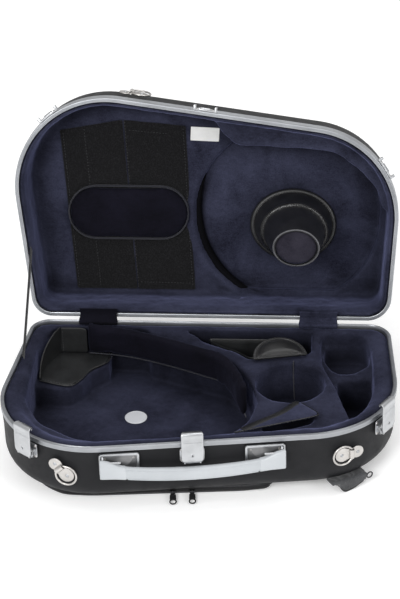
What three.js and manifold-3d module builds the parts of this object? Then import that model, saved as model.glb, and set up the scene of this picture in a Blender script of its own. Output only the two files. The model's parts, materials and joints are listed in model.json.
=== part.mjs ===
// Hard case for a horn with a detachable bell, standing open on its base.
// Millimetres, +Z up, +X to the right, front towards -Y.
// A plan point is [x, v]: v runs forward from the rear edge of the rims, so y = -v.
// A height below the base's rim plane, or a depth behind the lid's rim plane, is called h.
import * as THREE from 'three';
import { mergeVertices } from 'three/addons/utils/BufferGeometryUtils.js';
import Module from 'manifold-3d';

const wasm = await Module();
wasm.setup();

// ---------------------------------------------------------------- driving dimensions

// The plan of both halves is the hull of four circles: [centre x, centre v, radius].
const FRONT_LEFT = [-152, 217, 150];
const REAR_LEFT = [-245, 34, 34];
const REAR_RIGHT = [272, 40, 40];
const FRONT_RIGHT = [171, 172, 150];
const CIRCLES = [FRONT_LEFT, REAR_LEFT, REAR_RIGHT, FRONT_RIGHT];
const ARC_STEP = 10 * Math.PI / 180;
const MIN_RADIUS = 2;

const BASE_DEPTH = 105;
const LID_DEPTH = 108;
const LID_ANGLE = 105 * Math.PI / 180;
const HINGE_Y = 3;

const SHELL_WALL = 2.6;
const SHELL_DRAFT = 0.04;
const SHELL_FILLET = 35;
const RIM_WIDTH = 6.5;
const BASE_RIM = { height: 8, shellStart: 8.4, shellOffset: -1.3 };
const LID_RIM = { height: 24, shellStart: 7.4, shellOffset: -2 };
const RIM_GAP = 0.4;
const FIT = 0.3;

const ISLAND_DEPTH = 16;
const STEP_DEPTH = 54;
const WELL_DEPTH = 92;
const LID_FLOOR = 80;
const RECESS_FLOOR = 92;
const POCKET_BOTTOM = 119;

const BELL_RECESS = [141, 158, 153];
const CONE_ROOT = [148.8, 137.5];
const CONE_TIP = [157.5, 139.7];
const CONE_ROOT_H = 84;
const CONE_TIP_H = -65;
const CONE_TIP_LEAN = (23 * Math.PI) / 180;
const CONE_ROOT_SQUASH = 0.865;
const ROUND_POCKET = [152, 152, 57];

// ---------------------------------------------------------------- materials

function material(color, roughness, metalness = 0) {
  return new THREE.MeshStandardMaterial({ color, roughness, metalness });
}

const SHELL_BLACK = () => material(0x202124, 0.55);
const RIM_SILVER = () => material(0xa9adb2, 0.3, 1);
const CHROME = () => material(0xd5d8dc, 0.22, 1);
const PLUSH = () => material(0x1b1d33, 0.95);
const LOOP = () => material(0x0d0d10, 0.95);
const LEATHER = () => material(0x141415, 0.5);
const GRIP_GREY = () => material(0xb9bdc2, 0.5);
const POCKET_GREY = () => material(0x3a3c40, 0.9);
const WEBBING = () => material(0x0b0b0c, 0.9);
const LABEL_WHITE = () => material(0xf0f0ee, 0.7);

// ---------------------------------------------------------------- geometry helpers

// Outward normal, as an angle, of the straight edge that joins two of the plan circles.
function edgeNormal(from, to) {
  const dx = to[0] - from[0];
  const dv = to[1] - from[1];
  const length = Math.hypot(dx, dv);
  const along = (from[2] - to[2]) / length;
  const across = Math.sqrt(1 - along * along);
  return Math.atan2(
    (dv * along - dx * across) / length,
    (dx * along + dv * across) / length,
  );
}

// The plan outline as [circle, angle] pairs, shared by every offset of it.
const OUTLINE = CIRCLES.flatMap((circle, i) => {
  const before = CIRCLES[(i + CIRCLES.length - 1) % CIRCLES.length];
  const after = CIRCLES[(i + 1) % CIRCLES.length];
  const start = edgeNormal(before, circle);
  let span = edgeNormal(circle, after) - start;
  if (span < 0) span += 2 * Math.PI;
  const steps = Math.max(2, Math.round(span / ARC_STEP));
  return Array.from({ length: steps + 1 }, (_, k) => [circle, start + span * k / steps]);
});

function outline(offset) {
  return OUTLINE.map(([[x, v, radius], angle]) => {
    const r = Math.max(radius + offset, MIN_RADIUS);
    return [x + r * Math.cos(angle), v + r * Math.sin(angle)];
  });
}

function ring(offset, z) {
  return outline(offset).map(([x, v]) => new THREE.Vector3(x, -v, z));
}

function circleRing([x, v], radius, z, sides = 24) {
  return Array.from({ length: sides }, (_, k) => {
    const a = 2 * Math.PI * k / sides;
    return new THREE.Vector3(x + radius * Math.cos(a), -v + radius * Math.sin(a), z);
  });
}

function signedVolume(points, faces) {
  return faces.reduce((sum, [a, b, c]) => (
    sum + points[a].dot(new THREE.Vector3().crossVectors(points[b], points[c])) / 6
  ), 0);
}

// A closed body through a row of rings. It closes on itself, or each end closes on its centre.
function loft(rings, closed = false) {
  const n = rings[0].length;
  const points = rings.flat();
  const faces = [];
  const spans = closed ? rings.length : rings.length - 1;
  for (let i = 0; i < spans; i += 1) {
    const a = i * n;
    const b = ((i + 1) % rings.length) * n;
    for (let k = 0; k < n; k += 1) {
      const next = (k + 1) % n;
      faces.push([a + k, a + next, b + next], [a + k, b + next, b + k]);
    }
  }
  if (!closed) {
    [[0, 1], [(rings.length - 1) * n, -1]].forEach(([start, turn]) => {
      const centre = new THREE.Vector3();
      for (let k = 0; k < n; k += 1) centre.addScaledVector(points[start + k], 1 / n);
      points.push(centre);
      const tip = points.length - 1;
      for (let k = 0; k < n; k += 1) {
        const pair = [start + k, start + (k + 1) % n];
        faces.push(turn > 0 ? [tip, pair[1], pair[0]] : [tip, pair[0], pair[1]]);
      }
    });
  }
  const outward = signedVolume(points, faces) > 0;
  const geometry = new THREE.BufferGeometry().setFromPoints(points);
  geometry.setIndex(faces.flatMap(([a, b, c]) => (outward ? [a, b, c] : [a, c, b])));
  geometry.computeVertexNormals();
  return geometry;
}

function toSolid(geometry) {
  const bare = geometry.clone();
  bare.deleteAttribute('normal');
  bare.deleteAttribute('uv');
  const merged = mergeVertices(bare, 1e-4);
  return new wasm.Manifold(new wasm.Mesh({
    numProp: 3,
    vertProperties: new Float32Array(merged.attributes.position.array),
    triVerts: new Uint32Array(merged.index.array),
  }));
}

function toGeometry(solid) {
  const mesh = solid.getMesh();
  const geometry = new THREE.BufferGeometry();
  geometry.setAttribute('position', new THREE.BufferAttribute(mesh.vertProperties, 3));
  geometry.setIndex(new THREE.BufferAttribute(mesh.triVerts, 1));
  geometry.computeVertexNormals();
  return geometry;
}

function cut(body, ...tools) {
  return toGeometry(tools.reduce((solid, tool) => solid.subtract(toSolid(tool)), toSolid(body)));
}

function join(...bodies) {
  return toGeometry(bodies.slice(1).reduce((solid, b) => solid.add(toSolid(b)), toSolid(bodies[0])));
}

function common(a, b) {
  return toGeometry(toSolid(a).intersect(toSolid(b)));
}

// An outline of [x, y] points with every corner rounded.
function roundedShape(points, radius) {
  const shape = new THREE.Shape();
  points.forEach((point, i) => {
    const corner = new THREE.Vector2(...point);
    const before = new THREE.Vector2(...points[(i + points.length - 1) % points.length]);
    const after = new THREE.Vector2(...points[(i + 1) % points.length]);
    const trim = (other) => Math.min(radius, corner.distanceTo(other) * 0.45);
    const start = corner.clone().lerp(before, trim(before) / corner.distanceTo(before));
    const end = corner.clone().lerp(after, trim(after) / corner.distanceTo(after));
    if (i === 0) shape.moveTo(start.x, start.y);
    else shape.lineTo(start.x, start.y);
    shape.quadraticCurveTo(corner.x, corner.y, end.x, end.y);
  });
  shape.closePath();
  return shape;
}

// An upright prism over plan points, from z = low to z = high.
function prism(points, low, high, radius = 0, curveSegments = 4) {
  const flat = points.map(([x, v]) => [x, -v]);
  const shape = radius > 0
    ? roundedShape(flat, radius)
    : new THREE.Shape(flat.map(([x, y]) => new THREE.Vector2(x, y)));
  const geometry = new THREE.ExtrudeGeometry(shape, {
    depth: high - low, bevelEnabled: false, curveSegments,
  });
  return geometry.translate(0, 0, low);
}

function disc([x, v], radius, low, high, sides = 28) {
  return loft([circleRing([x, v], radius, low, sides), circleRing([x, v], radius, high, sides)]);
}

// An upright band of even thickness along a smooth plan curve.
function band(points, thickness, low, high, steps) {
  const curve = new THREE.SplineCurve(points.map(([x, v]) => new THREE.Vector2(x, v)));
  const sides = [[], []];
  for (let k = 0; k <= steps; k += 1) {
    const p = curve.getPoint(k / steps);
    const t = curve.getTangent(k / steps);
    sides[0].push([p.x - t.y * thickness / 2, p.y + t.x * thickness / 2]);
    sides[1].unshift([p.x + t.y * thickness / 2, p.y - t.x * thickness / 2]);
  }
  return prism([...sides[0], ...sides[1]], low, high);
}

// A plate in the X-Z plane: its back lies `back` mm in front of the wall.
function facePlate(points, back, thickness, radius = 0) {
  return prism(points.map(([x, z]) => [x, -z]), 0, thickness, radius)
    .rotateX(Math.PI / 2)
    .translate(0, -back, 0);
}

// A box from its low and high corners.
function block([x0, y0, z0], [x1, y1, z1]) {
  return new THREE.BoxGeometry(x1 - x0, y1 - y0, z1 - z0)
    .translate((x0 + x1) / 2, (y0 + y1) / 2, (z0 + z1) / 2);
}

// A rod along X.
function rod(x0, x1, y, z, radius, sides = 12) {
  return new THREE.CylinderGeometry(radius, radius, x1 - x0, sides)
    .rotateZ(Math.PI / 2)
    .translate((x0 + x1) / 2, y, z);
}

// A sheet of even thickness along a bent line in the Y-Z plane, running from x0 to x1.
function bentSheet(points, thickness, x0, x1) {
  const curve = new THREE.SplineCurve(points.map(([y, z]) => new THREE.Vector2(y, z)));
  const steps = points.length * 2;
  const sides = [[], []];
  for (let k = 0; k <= steps; k += 1) {
    const p = curve.getPoint(k / steps);
    const t = curve.getTangent(k / steps);
    sides[0].push(new THREE.Vector2(p.x - t.y * thickness / 2, p.y + t.x * thickness / 2));
    sides[1].unshift(new THREE.Vector2(p.x + t.y * thickness / 2, p.y - t.x * thickness / 2));
  }
  const geometry = new THREE.ExtrudeGeometry(new THREE.Shape([...sides[0], ...sides[1]]), {
    depth: x1 - x0, bevelEnabled: false,
  });
  // The sheet is drawn in X-Y and extruded along Z: turn Z to X, X to Y and Y to Z.
  geometry.applyMatrix4(new THREE.Matrix4().makeBasis(
    new THREE.Vector3(0, 1, 0), new THREE.Vector3(0, 0, 1), new THREE.Vector3(1, 0, 0),
  ));
  return geometry.translate(x0, 0, 0);
}

// A round bar bent along a closed line of [x, z] points in the plane y = depth.
function wireLoop(points, radius, depth, sides = 6) {
  const n = points.length;
  const rings = points.map(([x, z], i) => {
    const [xa, za] = points[(i + n - 1) % n];
    const [xb, zb] = points[(i + 1) % n];
    const length = Math.hypot(xb - xa, zb - za);
    const nx = (zb - za) / length;
    const nz = -(xb - xa) / length;
    return Array.from({ length: sides }, (_, k) => {
      const a = 2 * Math.PI * k / sides;
      const out = radius * Math.cos(a);
      return new THREE.Vector3(x + nx * out, depth + radius * Math.sin(a), z + nz * out);
    });
  });
  return loft(rings, true);
}

function arcPoints(cx, cz, radius, from, to, steps) {
  return Array.from({ length: steps + 1 }, (_, k) => {
    const a = (from + (to - from) * k / steps) * Math.PI / 180;
    return [cx + radius * Math.cos(a), cz + radius * Math.sin(a)];
  });
}

// ---------------------------------------------------------------- assembly helpers

const horn_case = new THREE.Group();
const base = new THREE.Group();
const lid = new THREE.Group();
// The lid is drawn closed, above the rim plane, and then swung open about the hinge line.
lid.position.set(0, HINGE_Y, 0);
lid.rotation.x = -LID_ANGLE;
const lidFrame = new THREE.Group();
lidFrame.position.set(0, -HINGE_Y, 0);
lid.add(lidFrame);
horn_case.add(base, lid);

function place(parent, name, geometry, mat) {
  const mesh = new THREE.Mesh(geometry, mat);
  mesh.name = name;
  parent.add(mesh);
  return mesh;
}

// A spot on the outer edge of the rims: on a plan circle at an angle, or on the straight front.
function cornerSpot([x, v, radius], degrees) {
  const a = degrees * Math.PI / 180;
  return { x: x + radius * Math.cos(a), v: v + radius * Math.sin(a), nx: Math.cos(a), nv: Math.sin(a) };
}

function frontSpot(x) {
  const a = edgeNormal(FRONT_RIGHT, FRONT_LEFT);
  const start = cornerSpot(FRONT_LEFT, a * 180 / Math.PI);
  const slope = (FRONT_RIGHT[1] - FRONT_LEFT[1]) / (FRONT_RIGHT[0] - FRONT_LEFT[0]);
  return { ...start, x, v: start.v + slope * (x - start.x) };
}

// A group on the wall at a spot: its X runs to the right along the wall and -Y points out.
function wallGroup(parent, spot, z = 0) {
  const group = new THREE.Group();
  group.position.set(spot.x, -spot.v, z);
  group.rotation.z = Math.atan2(spot.nx, spot.nv);
  parent.add(group);
  return group;
}

// ---------------------------------------------------------------- shells, rims and liners

// Offset and depth of a shell surface that lies `inside` mm within the outer face.
function shellProfile(depth, { shellStart, shellOffset }, inside) {
  const straight = depth - SHELL_FILLET;
  const foot = shellOffset - SHELL_DRAFT * (straight - shellStart);
  const radius = SHELL_FILLET - inside;
  const points = [[shellOffset - inside, shellStart]];
  for (let k = 0; k <= 5; k += 1) {
    const a = Math.PI / 2 * k / 5;
    const offset = foot - SHELL_FILLET + radius * Math.cos(a);
    points.push([offset, straight + radius * Math.sin(a)]);
  }
  return points;
}

function rings(profile, up) {
  return profile.map(([offset, h]) => ring(offset, up * h));
}

function shell(depth, rim, up) {
  const inner = shellProfile(depth, rim, SHELL_WALL).reverse();
  return loft(rings([...inner, ...shellProfile(depth, rim, 0)], up));
}

// The body that a shell fills, grown by `gap`, from just under its rim.
function shellEnvelope(depth, rim, up, gap) {
  return loft(rings(shellProfile(depth, rim, -gap), up));
}

function rimBar(bottom, up) {
  const top = [[0, 1.3], [-1.1, RIM_GAP], [1.1 - RIM_WIDTH, RIM_GAP], [-RIM_WIDTH, 1.4]];
  return loft(rings([...top, ...bottom], up), true);
}

function buildShells() {
  place(base, 'base_shell', shell(BASE_DEPTH, BASE_RIM, -1), SHELL_BLACK());
  place(base, 'base_rim', rimBar([[-RIM_WIDTH, 8], [0, BASE_RIM.height]], -1), RIM_SILVER());
  place(lidFrame, 'lid_shell', shell(LID_DEPTH, LID_RIM, 1), SHELL_BLACK());
  // The lid's rim carries a deep outer band that laps over the shell.
  const lap = [[-RIM_WIDTH, 7], [-1.6, 7], [-1.6, LID_RIM.height], [0, LID_RIM.height]];
  place(lidFrame, 'lid_rim', rimBar(lap, 1), RIM_SILVER());
}

// The outer surface of a liner: inside the rim at first, then against the shell.
function linerOutside(depth, rim) {
  const wall = shellProfile(depth, rim, SHELL_WALL + 0.4);
  wall[0] = [wall[0][0] - 0.3, 14];
  return [[-RIM_WIDTH - 0.7, 10], ...wall];
}

const WELL = [
  [-240, 15], [-262, 80], [-266, 215], [-236, 278], [-176, 318], [-110, 331], [20, 320],
  [64, 300], [92, 262], [98, 228], [104, 203], [86, 148], [58, 97], [9, 74], [-44, 49],
  [-78, 36], [-86, 15],
];
const GUARD_FLOOR = [
  [-236, 22], [-150, 22], [-150, 48], [-177, 75], [-190, 104], [-208, 122], [-256, 108], [-256, 80],
];
const GUARD_STEP = [[-300, 0], [-149, 0], [-149, 50], [-176, 77], [-189, 106], [-207, 125], [-300, 120]];
const SMALL_POCKET = [[-30, 16], [34, 52], [62, 66], [84, 88], [178, 70], [184, 58], [184, 16]];
const RIGHT_SPACE = [
  [196, 22], [268, 22], [282, 60], [286, 170], [270, 235], [254, 262], [246, 250], [226, 172], [200, 96],
];
const RIGHT_BOWL = [[206, 24], [268, 24], [280, 52], [276, 78], [256, 100], [232, 106], [214, 92], [200, 50]];
const RIGHT_DEEP = [[224, 126], [283, 116], [286, 170], [270, 235], [254, 262], [246, 250], [228, 172]];
const FRONT_POCKET = [[108, 274], [152, 238], [178, 234], [196, 252], [186, 270], [116, 294]];

function buildBaseLiner() {
  const bolster = [
    [-7.2, 6.5], [-10, 4.8], [-19, 5.2], [-27, 8], [-33, 12], [-37, ISLAND_DEPTH],
  ];
  const outside = linerOutside(BASE_DEPTH, BASE_RIM).reverse();
  const blank = loft(rings([...outside, ...bolster], -1));
  const step = prism(GUARD_STEP, -STEP_DEPTH - 60, -STEP_DEPTH);
  const deepWell = cut(prism(WELL, -WELL_DEPTH, -STEP_DEPTH + 1, 14), step);
  const liner = cut(
    blank,
    prism(WELL, -STEP_DEPTH, 1, 14),
    deepWell,
    prism(SMALL_POCKET, -62, 1, 8),
    disc(ROUND_POCKET, ROUND_POCKET[2], -WELL_DEPTH, 1),
    prism(RIGHT_SPACE, -32, 1, 16),
    prism(RIGHT_BOWL, -64, -31, 14),
    prism(RIGHT_DEEP, -WELL_DEPTH, -31, 10),
    prism(FRONT_POCKET, -62, 1, 10),
  );
  place(base, 'base_liner', liner, PLUSH());
}

function buildBaseContents() {
  const padPath = [[-186, 24], [-140, 30], [-102, 40], [-51, 60], [-1, 84], [40, 108], [66, 155], [80, 203]];
  place(base, 'divider_pad', band(padPath, 12, -47, 6, 16), PLUSH());
  const guard = join(
    prism(GUARD_FLOOR, -53.6, -50.6, 6),
    block([-230, -24, -51], [-196, -21, -3]),
    band([[-230, 23], [-243, 52], [-254.5, 84]], 3, -51, -9, 4),
    band([[-253.4, 80], [-255.6, 94], [-255.8, 106]], 3, -51, -26, 3),
  );
  place(base, 'corner_guard', guard, LEATHER());
  place(base, 'base_badge', disc([-97, 150], 18, -WELL_DEPTH + FIT, -WELL_DEPTH + 2, 24), CHROME());
}

// A half-round leather flap over the small pocket, hinged along its straight edge.
const LEAF_HINGE = { start: [68, 316], turn: 21.3, fall: 7 };
const FLAP_HINGE = { x: 134, v: 89, h: 12, turn: 11.5, lean: 14, radius: 44 };

function buildFlaps() {
  const group = new THREE.Group();
  group.position.set(FLAP_HINGE.x, -FLAP_HINGE.v, -FLAP_HINGE.h);
  group.rotation.set(FLAP_HINGE.lean * Math.PI / 180, 0, FLAP_HINGE.turn * Math.PI / 180, 'ZYX');
  base.add(group);
  const half = arcPoints(0, 0, FLAP_HINGE.radius, 0, 180, 16).map(([x, y]) => [x, -y]);
  place(group, 'pocket_flap', prism(half, 0, 3), LEATHER());
  // A leaf-shaped flap over the front pocket, hinged along its front edge.
  const leafGroup = new THREE.Group();
  const { start, turn, fall } = LEAF_HINGE;
  leafGroup.position.set(start[0], -start[1], -4.4);
  leafGroup.rotation.set(-fall * Math.PI / 180, 0, turn * Math.PI / 180, 'ZYX');
  base.add(leafGroup);
  const leaf = [[0, 0], [90, -36], [121, -58], [129, -55], [143, -9], [137, 0]];
  place(leafGroup, 'retaining_flap', prism(leaf, 0, 3.2, 5), LEATHER());
}

function buildLidLiner() {
  const inside = [
    [-7.2, 4], [-10, 2.6], [-13, 8], [-15.5, 22], [-17, 68], [-19, 76.5], [-22.5, LID_FLOOR],
  ];
  const outside = linerOutside(LID_DEPTH, LID_RIM).reverse();
  const blank = loft(rings([...outside, ...inside], 1));
  const inset = loft([ring(-27, LID_FLOOR - 6), ring(-27, RECESS_FLOOR)]);
  const recess = common(disc(BELL_RECESS, BELL_RECESS[2], LID_FLOOR - 5, RECESS_FLOOR, 48), inset);
  // A sculpted bolster fills the lid's front right corner beside the bell.
  const lip = [
    [20, 335], [36, 306], [61, 286], [110, 286], [175, 283], [218, 277], [257, 250], [288, 216],
    [296, 180], [330, 180], [330, 340], [20, 380],
  ];
  const bolster = common(prism(lip, 22, LID_FLOOR + 2, 10), loft(rings(outside, 1)));
  place(lidFrame, 'lid_liner', join(cut(blank, recess), bolster), PLUSH());
}

function buildLidContents() {
  const floor = LID_FLOOR - FIT;
  const leftPanel = [[-236, 296], [-133, 314], [-111, 26], [-211, 26]];
  const rightPanel = [[-131, 314], [-29, 305], [-14, 26], [-109, 26]];
  place(lidFrame, 'loop_panel_left', prism(leftPanel, floor - 1.8, floor), LOOP());
  place(lidFrame, 'loop_panel_right', prism(rightPanel, floor - 1.8, floor), LOOP());
  const ends = [
    ...arcPoints(-178, 159, 44.5, 90, 270, 10),
    ...arcPoints(-69, 159, 44.5, 270, 450, 10),
  ];
  place(lidFrame, 'oval_pad', prism(ends, floor - 13, floor - 1.8 - FIT), PLUSH());
  place(lidFrame, 'lid_label', prism([[-21, 281], [26, 279], [27, 302], [-20, 304]], floor - 0.8, floor),
    LABEL_WHITE());
}

// The cone that holds the bell: oval at its root, round at its mouth, which leans towards the hinge.
function coneRing(radius, h) {
  const t = (CONE_ROOT_H - h) / (CONE_ROOT_H - CONE_TIP_H);
  const centre = [0, 1].map((i) => CONE_ROOT[i] + (CONE_TIP[i] - CONE_ROOT[i]) * t);
  const squash = CONE_ROOT_SQUASH + (1 - CONE_ROOT_SQUASH) * t;
  const lean = CONE_TIP_LEAN * Math.max(0, t);
  return circleRing(centre, radius, h, 28).map(({ x, y, z }) => {
    const across = (y + centre[1]) * squash;
    return new THREE.Vector3(x, across * Math.cos(lean) - centre[1], z + across * Math.sin(lean));
  });
}

function coneBody(profile) {
  return loft(profile.map(([radius, h]) => coneRing(radius, h)));
}

function buildCone() {
  const foot = RECESS_FLOOR - FIT;
  const flange = [[68.5, foot], [71.4, foot - 2], [71.4, 87], [68.5, CONE_ROOT_H]];
  place(lidFrame, 'cone_flange', coneBody(flange), LEATHER());
  const skirt = [[65, CONE_ROOT_H - FIT], [61, 66], [56, 46], [54.5, 40], [52, 38]];
  const skirtBore = coneBody([[59, CONE_ROOT_H + 1], [55.5, 66], [50.5, 46], [47.5, 37]]);
  place(lidFrame, 'cone_skirt', cut(coneBody(skirt), skirtBore), LEATHER());
  const nose = coneBody([[50.5, 37.7], [48.5, 20], [44, -15], [38.5, -52], [37.2, -61], [37.6, CONE_TIP_H]]);
  const noseBore = coneBody([[45.5, 39], [43.5, 20], [39, -15], [34, -50]]);
  const mouth = coneBody([[33, CONE_TIP_H + 5], [33, CONE_TIP_H - 1]]);
  place(lidFrame, 'cone_nose', cut(nose, noseBore, mouth), LEATHER());
  place(lidFrame, 'cone_cap', coneBody([[32.6, CONE_TIP_H + 4.7], [32.6, CONE_TIP_H + 2]]), PLUSH());
}

// ---------------------------------------------------------------- hardware on the walls

const LATCH_SPOTS = {
  left: cornerSpot(FRONT_LEFT, 128),
  centre: frontSpot(8),
  right: cornerSpot(FRONT_RIGHT, 33),
};
const LATCH = { pinY: -8, pinZ: -27, pinRadius: 1.5 };

function buildLatch(side, spot) {
  const group = wallGroup(base, spot);
  const { pinY, pinZ, pinRadius } = LATCH;
  const bore = rod(-30, 30, pinY, pinZ, pinRadius + 0.3);
  const ear = (x) => join(
    rod(x - 1, x + 1, pinY, pinZ, 3),
    block([x - 1, pinY, pinZ - 3], [x + 1, -1.5, pinZ + 3]),
  );
  const bracket = join(
    block([-19, -1.9, -34], [19, -FIT, -9]),
    ear(-14.5),
    ear(14.5),
  );
  place(group, `latch_${side}_bracket`, cut(bracket, bore), CHROME());
  place(group, `latch_${side}_pin`, rod(-16.5, 16.5, pinY, pinZ, pinRadius), CHROME());
  const front = [[-17, 24], [17, 24], [17, -23], [12.5, -29], [-12.5, -29], [-17, -23]];
  const lug = (x) => block([x - 1.2, -12, pinZ - 3.6], [x + 1.2, pinY + 3.4, pinZ + 3.6]);
  const lever = join(
    facePlate(front, 11.6, 2.4, 4),
    lug(-12),
    lug(12),
    block([-14, -13, 21.6], [14, -3, 24]),
    block([-14, -5, 17], [14, -3, 22]),
  );
  const keyhole = new THREE.CylinderGeometry(1.6, 1.6, 8, 10).translate(0, -13, -16);
  place(group, `latch_${side}_lever`, cut(lever, bore, keyhole), CHROME());
  const catchGroup = wallGroup(lidFrame, spot);
  const strike = join(
    block([-16, -1.9, 3], [16, -FIT, 10]),
    block([-11, -2.8, 5], [11, -FIT, 15]),
    block([-19, -8, 3], [-15.2, -FIT, 11]),
    block([15.2, -8, 3], [19, -FIT, 11]),
  );
  place(catchGroup, `catch_${side}`, strike, CHROME());
}

// A two-lobed plate with a captive ring: X runs from the small lobe to the large one.
function buildStrapRing(parent, spot, z, tilt, name) {
  const group = new THREE.Group();
  group.rotation.y = tilt * Math.PI / 180;
  wallGroup(parent, spot, z).add(group);
  const plate = join(
    facePlate(arcPoints(-24, 0, 10.8, 0, 360, 20).slice(1), 1.4, 2),
    facePlate(arcPoints(0, 0, 12.5, 0, 360, 24).slice(1), 1.4, 2),
    block([-20, -3.4, -6], [0, -1.4, 6]),
    block([-18, -8, -8], [-11, -1.4, 8]),
  );
  const channel = new THREE.CylinderGeometry(2.6, 2.6, 40, 10)
    .rotateX(Math.PI / 2).translate(-14.5, -4.6, 0);
  place(group, `strap_plate_${name}`, cut(plate, channel), CHROME());
  const wire = [...arcPoints(0, 0, 16.5, -140, 140, 18), [-14.5, 6], [-14.5, 0], [-14.5, -6]];
  place(group, `strap_ring_${name}`, wireLoop(wire, 1.6, -4.6), CHROME());
}

const HANDLE = { x: 8, axisY: -14, axisZ: -20, span: 128, drop: 26 };

function buildHandle() {
  const group = wallGroup(base, frontSpot(HANDLE.x));
  const { axisY, axisZ, span } = HANDLE;
  [['left', -1], ['right', 1]].forEach(([side, way]) => {
    const low = way < 0 ? -span - 15 : span - 47;
    const high = low + 62;
    const frame = cut(
      block([low, -4, -50], [high, -FIT, -11]),
      block([low + 5, -9, -46], [high - 5, -2, -15]),
    );
    const bar = [way * (span - 18), way * (span + 13)].sort((a, b) => a - b);
    const ears = bar.map((x) => (
      block([x - 1.5, axisY - 4, axisZ - 4], [x + 1.5, -1, axisZ + 4])
    ));
    place(group, `handle_bracket_${side}`,
      join(frame, ...ears, rod(bar[0], bar[1], axisY, axisZ, 1.8)), CHROME());
    // The end piece turns on the bracket's bar and grips the end of the handle.
    const inner = way * (span - 14);
    const outer = way * (span + 11);
    const arm = [
      [outer, axisZ + 5], [outer, axisZ - 28], [inner, axisZ - 29.5], [inner, axisZ - 5],
    ];
    const bore = rod(-span - 30, span + 30, axisY, axisZ, 2.3);
    const end = cut(facePlate(way < 0 ? arm : arm.reverse(), 8.5, 11), bore);
    place(group, `handle_end_${side}`, end, RIM_SILVER());
  });
  // The grip sags in a shallow arc between the two ends.
  const half = span - 14 - FIT;
  const steps = 16;
  const sections = Array.from({ length: steps + 1 }, (_, k) => {
    const x = -half + 2 * half * k / steps;
    const drop = 9 * (1 - (x / half) ** 2);
    const z = axisZ - 18 - drop;
    return [[-6, -8], [-3, -11], [3, -11], [6, -8], [6, 8], [3, 11], [-3, 11], [-6, 8]]
      .map(([dy, dz]) => new THREE.Vector3(x, axisY + dy, z + dz));
  });
  place(group, 'handle_grip', loft(sections), GRIP_GREY());
}

// ---------------------------------------------------------------- hinges, covers and stay strap

const HINGES = { left: -168, right: 193 };
const KNUCKLE = 2.4;

function buildHinges() {
  Object.entries(HINGES).forEach(([side, x]) => {
    const leaf = (low, high) => block([x - 28, FIT, low], [x + 28, 1.5, high]);
    const knuckle = (from, to) => rod(x + from, x + to, HINGE_Y, 0, KNUCKLE, 14);
    const bore = rod(x - 40, x + 40, HINGE_Y, 0, 1.4);
    // Each leaf is cut back where the other leaf's knuckles turn.
    const room = (from, to) => rod(x + from, x + to, HINGE_Y, 0, KNUCKLE + 0.3, 14);
    const baseLeaf = cut(join(leaf(-17, 0), knuckle(-10, 10)), room(-30, -10.3), room(10.3, 30), bore);
    place(base, `hinge_${side}_base_leaf`, baseLeaf, CHROME());
    const lidBody = cut(join(leaf(0, 17), knuckle(-28, -10.6), knuckle(10.6, 28)), room(-10.6, 10.6));
    place(lidFrame, `hinge_${side}_lid_leaf`, join(lidBody, rod(x - 28, x + 28, HINGE_Y, 0, 1.1)), CHROME());
    // A plush cover hangs over the joint, from inside the base to inside the lid.
    const cover = [[-11, -3], [-9.5, 1.2], [-4, 4.2], [0.4, 8], [2.6, 13.5], [3.2, 19]];
    place(base, `hinge_cover_${side}`, bentSheet(cover, 2, x - 31, x + 31), PLUSH());
  });
}

function buildStayStrap() {
  // Webbing from the base's left edge to the lid's left edge that stops the lid.
  const low = new THREE.Vector3(-277, -125, 6);
  const high = new THREE.Vector3(-277, 31, 115);
  const along = high.clone().sub(low);
  const strap = new THREE.BoxGeometry(1.6, along.length(), 18);
  const mesh = place(base, 'stay_strap', strap, WEBBING());
  mesh.position.copy(low).addScaledVector(along, 0.5);
  mesh.rotation.x = Math.atan2(along.z, along.y);
}

// ---------------------------------------------------------------- outer pocket and strap pouch

const POCKET = [
  [-218, 28], [-246, 200], [-244, 280], [-212, 316], [-168, 328], [100, 304.5], [132, 285], [138, 28],
];
const ZIP_ANGLE = Math.atan2(23.5, 268);

function buildOuterPocket() {
  const top = -BASE_DEPTH - FIT;
  place(base, 'outer_pocket', prism(POCKET, -POCKET_BOTTOM, top, 30), POCKET_GREY());
  const track = [
    [-248, 240], [-246, 281], [-213, 318.6], [-168, 330.7], [-34, 319], [100, 307.2], [124, 296],
  ];
  place(base, 'zip_track', band(track, 2, -115, -109, 16), WEBBING());
  [['left', -26], ['right', 4]].forEach(([side, x]) => {
    const v = 328 - (x + 168) * Math.tan(ZIP_ANGLE) + 4.4;
    const group = new THREE.Group();
    group.position.set(x, -v, -112);
    group.rotation.z = ZIP_ANGLE;
    base.add(group);
    const body = cut(
      block([-4.5, -5.5, -3.2], [4.5, 0, 3.2]),
      block([-1.6, -4.2, -1.2], [1.6, -2.2, 4]),
    );
    place(group, `zip_slider_${side}`, body, CHROME());
    const tab = join(
      block([-4.8, -18, -2.2], [4.8, -6.2, -0.4]),
      disc([0, 22], 6, -2.2, -0.4, 16),
    );
    const pull = cut(tab, disc([0, 22], 3.6, -4, 2, 12));
    place(group, `zip_pull_${side}`, pull.rotateX(0.14), WEBBING());
  });
}

function buildStrapPouch() {
  const spot = cornerSpot(FRONT_RIGHT, 56);
  const group = wallGroup(base, spot);
  const envelope = shellEnvelope(BASE_DEPTH, BASE_RIM, -1, 0.5);
  group.updateMatrix();
  envelope.applyMatrix4(group.matrix.clone().invert());
  const side = [
    [-38, -94], [-37, -99], [-24, -103], [-22, -110], [-14, -POCKET_BOTTOM], [2, -118], [26, -109], [27, -98],
  ];
  const pouch = cut(facePlate(side, -40, 38), envelope);
  place(group, 'strap_pouch', pouch, POCKET_GREY());
  const pull = wireLoop(arcPoints(0, 0, 5, 0, 360, 12).slice(1), 1.1, -0.2, 6);
  place(group, 'pouch_pull', pull.translate(33.2, 5, -106), CHROME());
}

// ---------------------------------------------------------------- build

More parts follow.
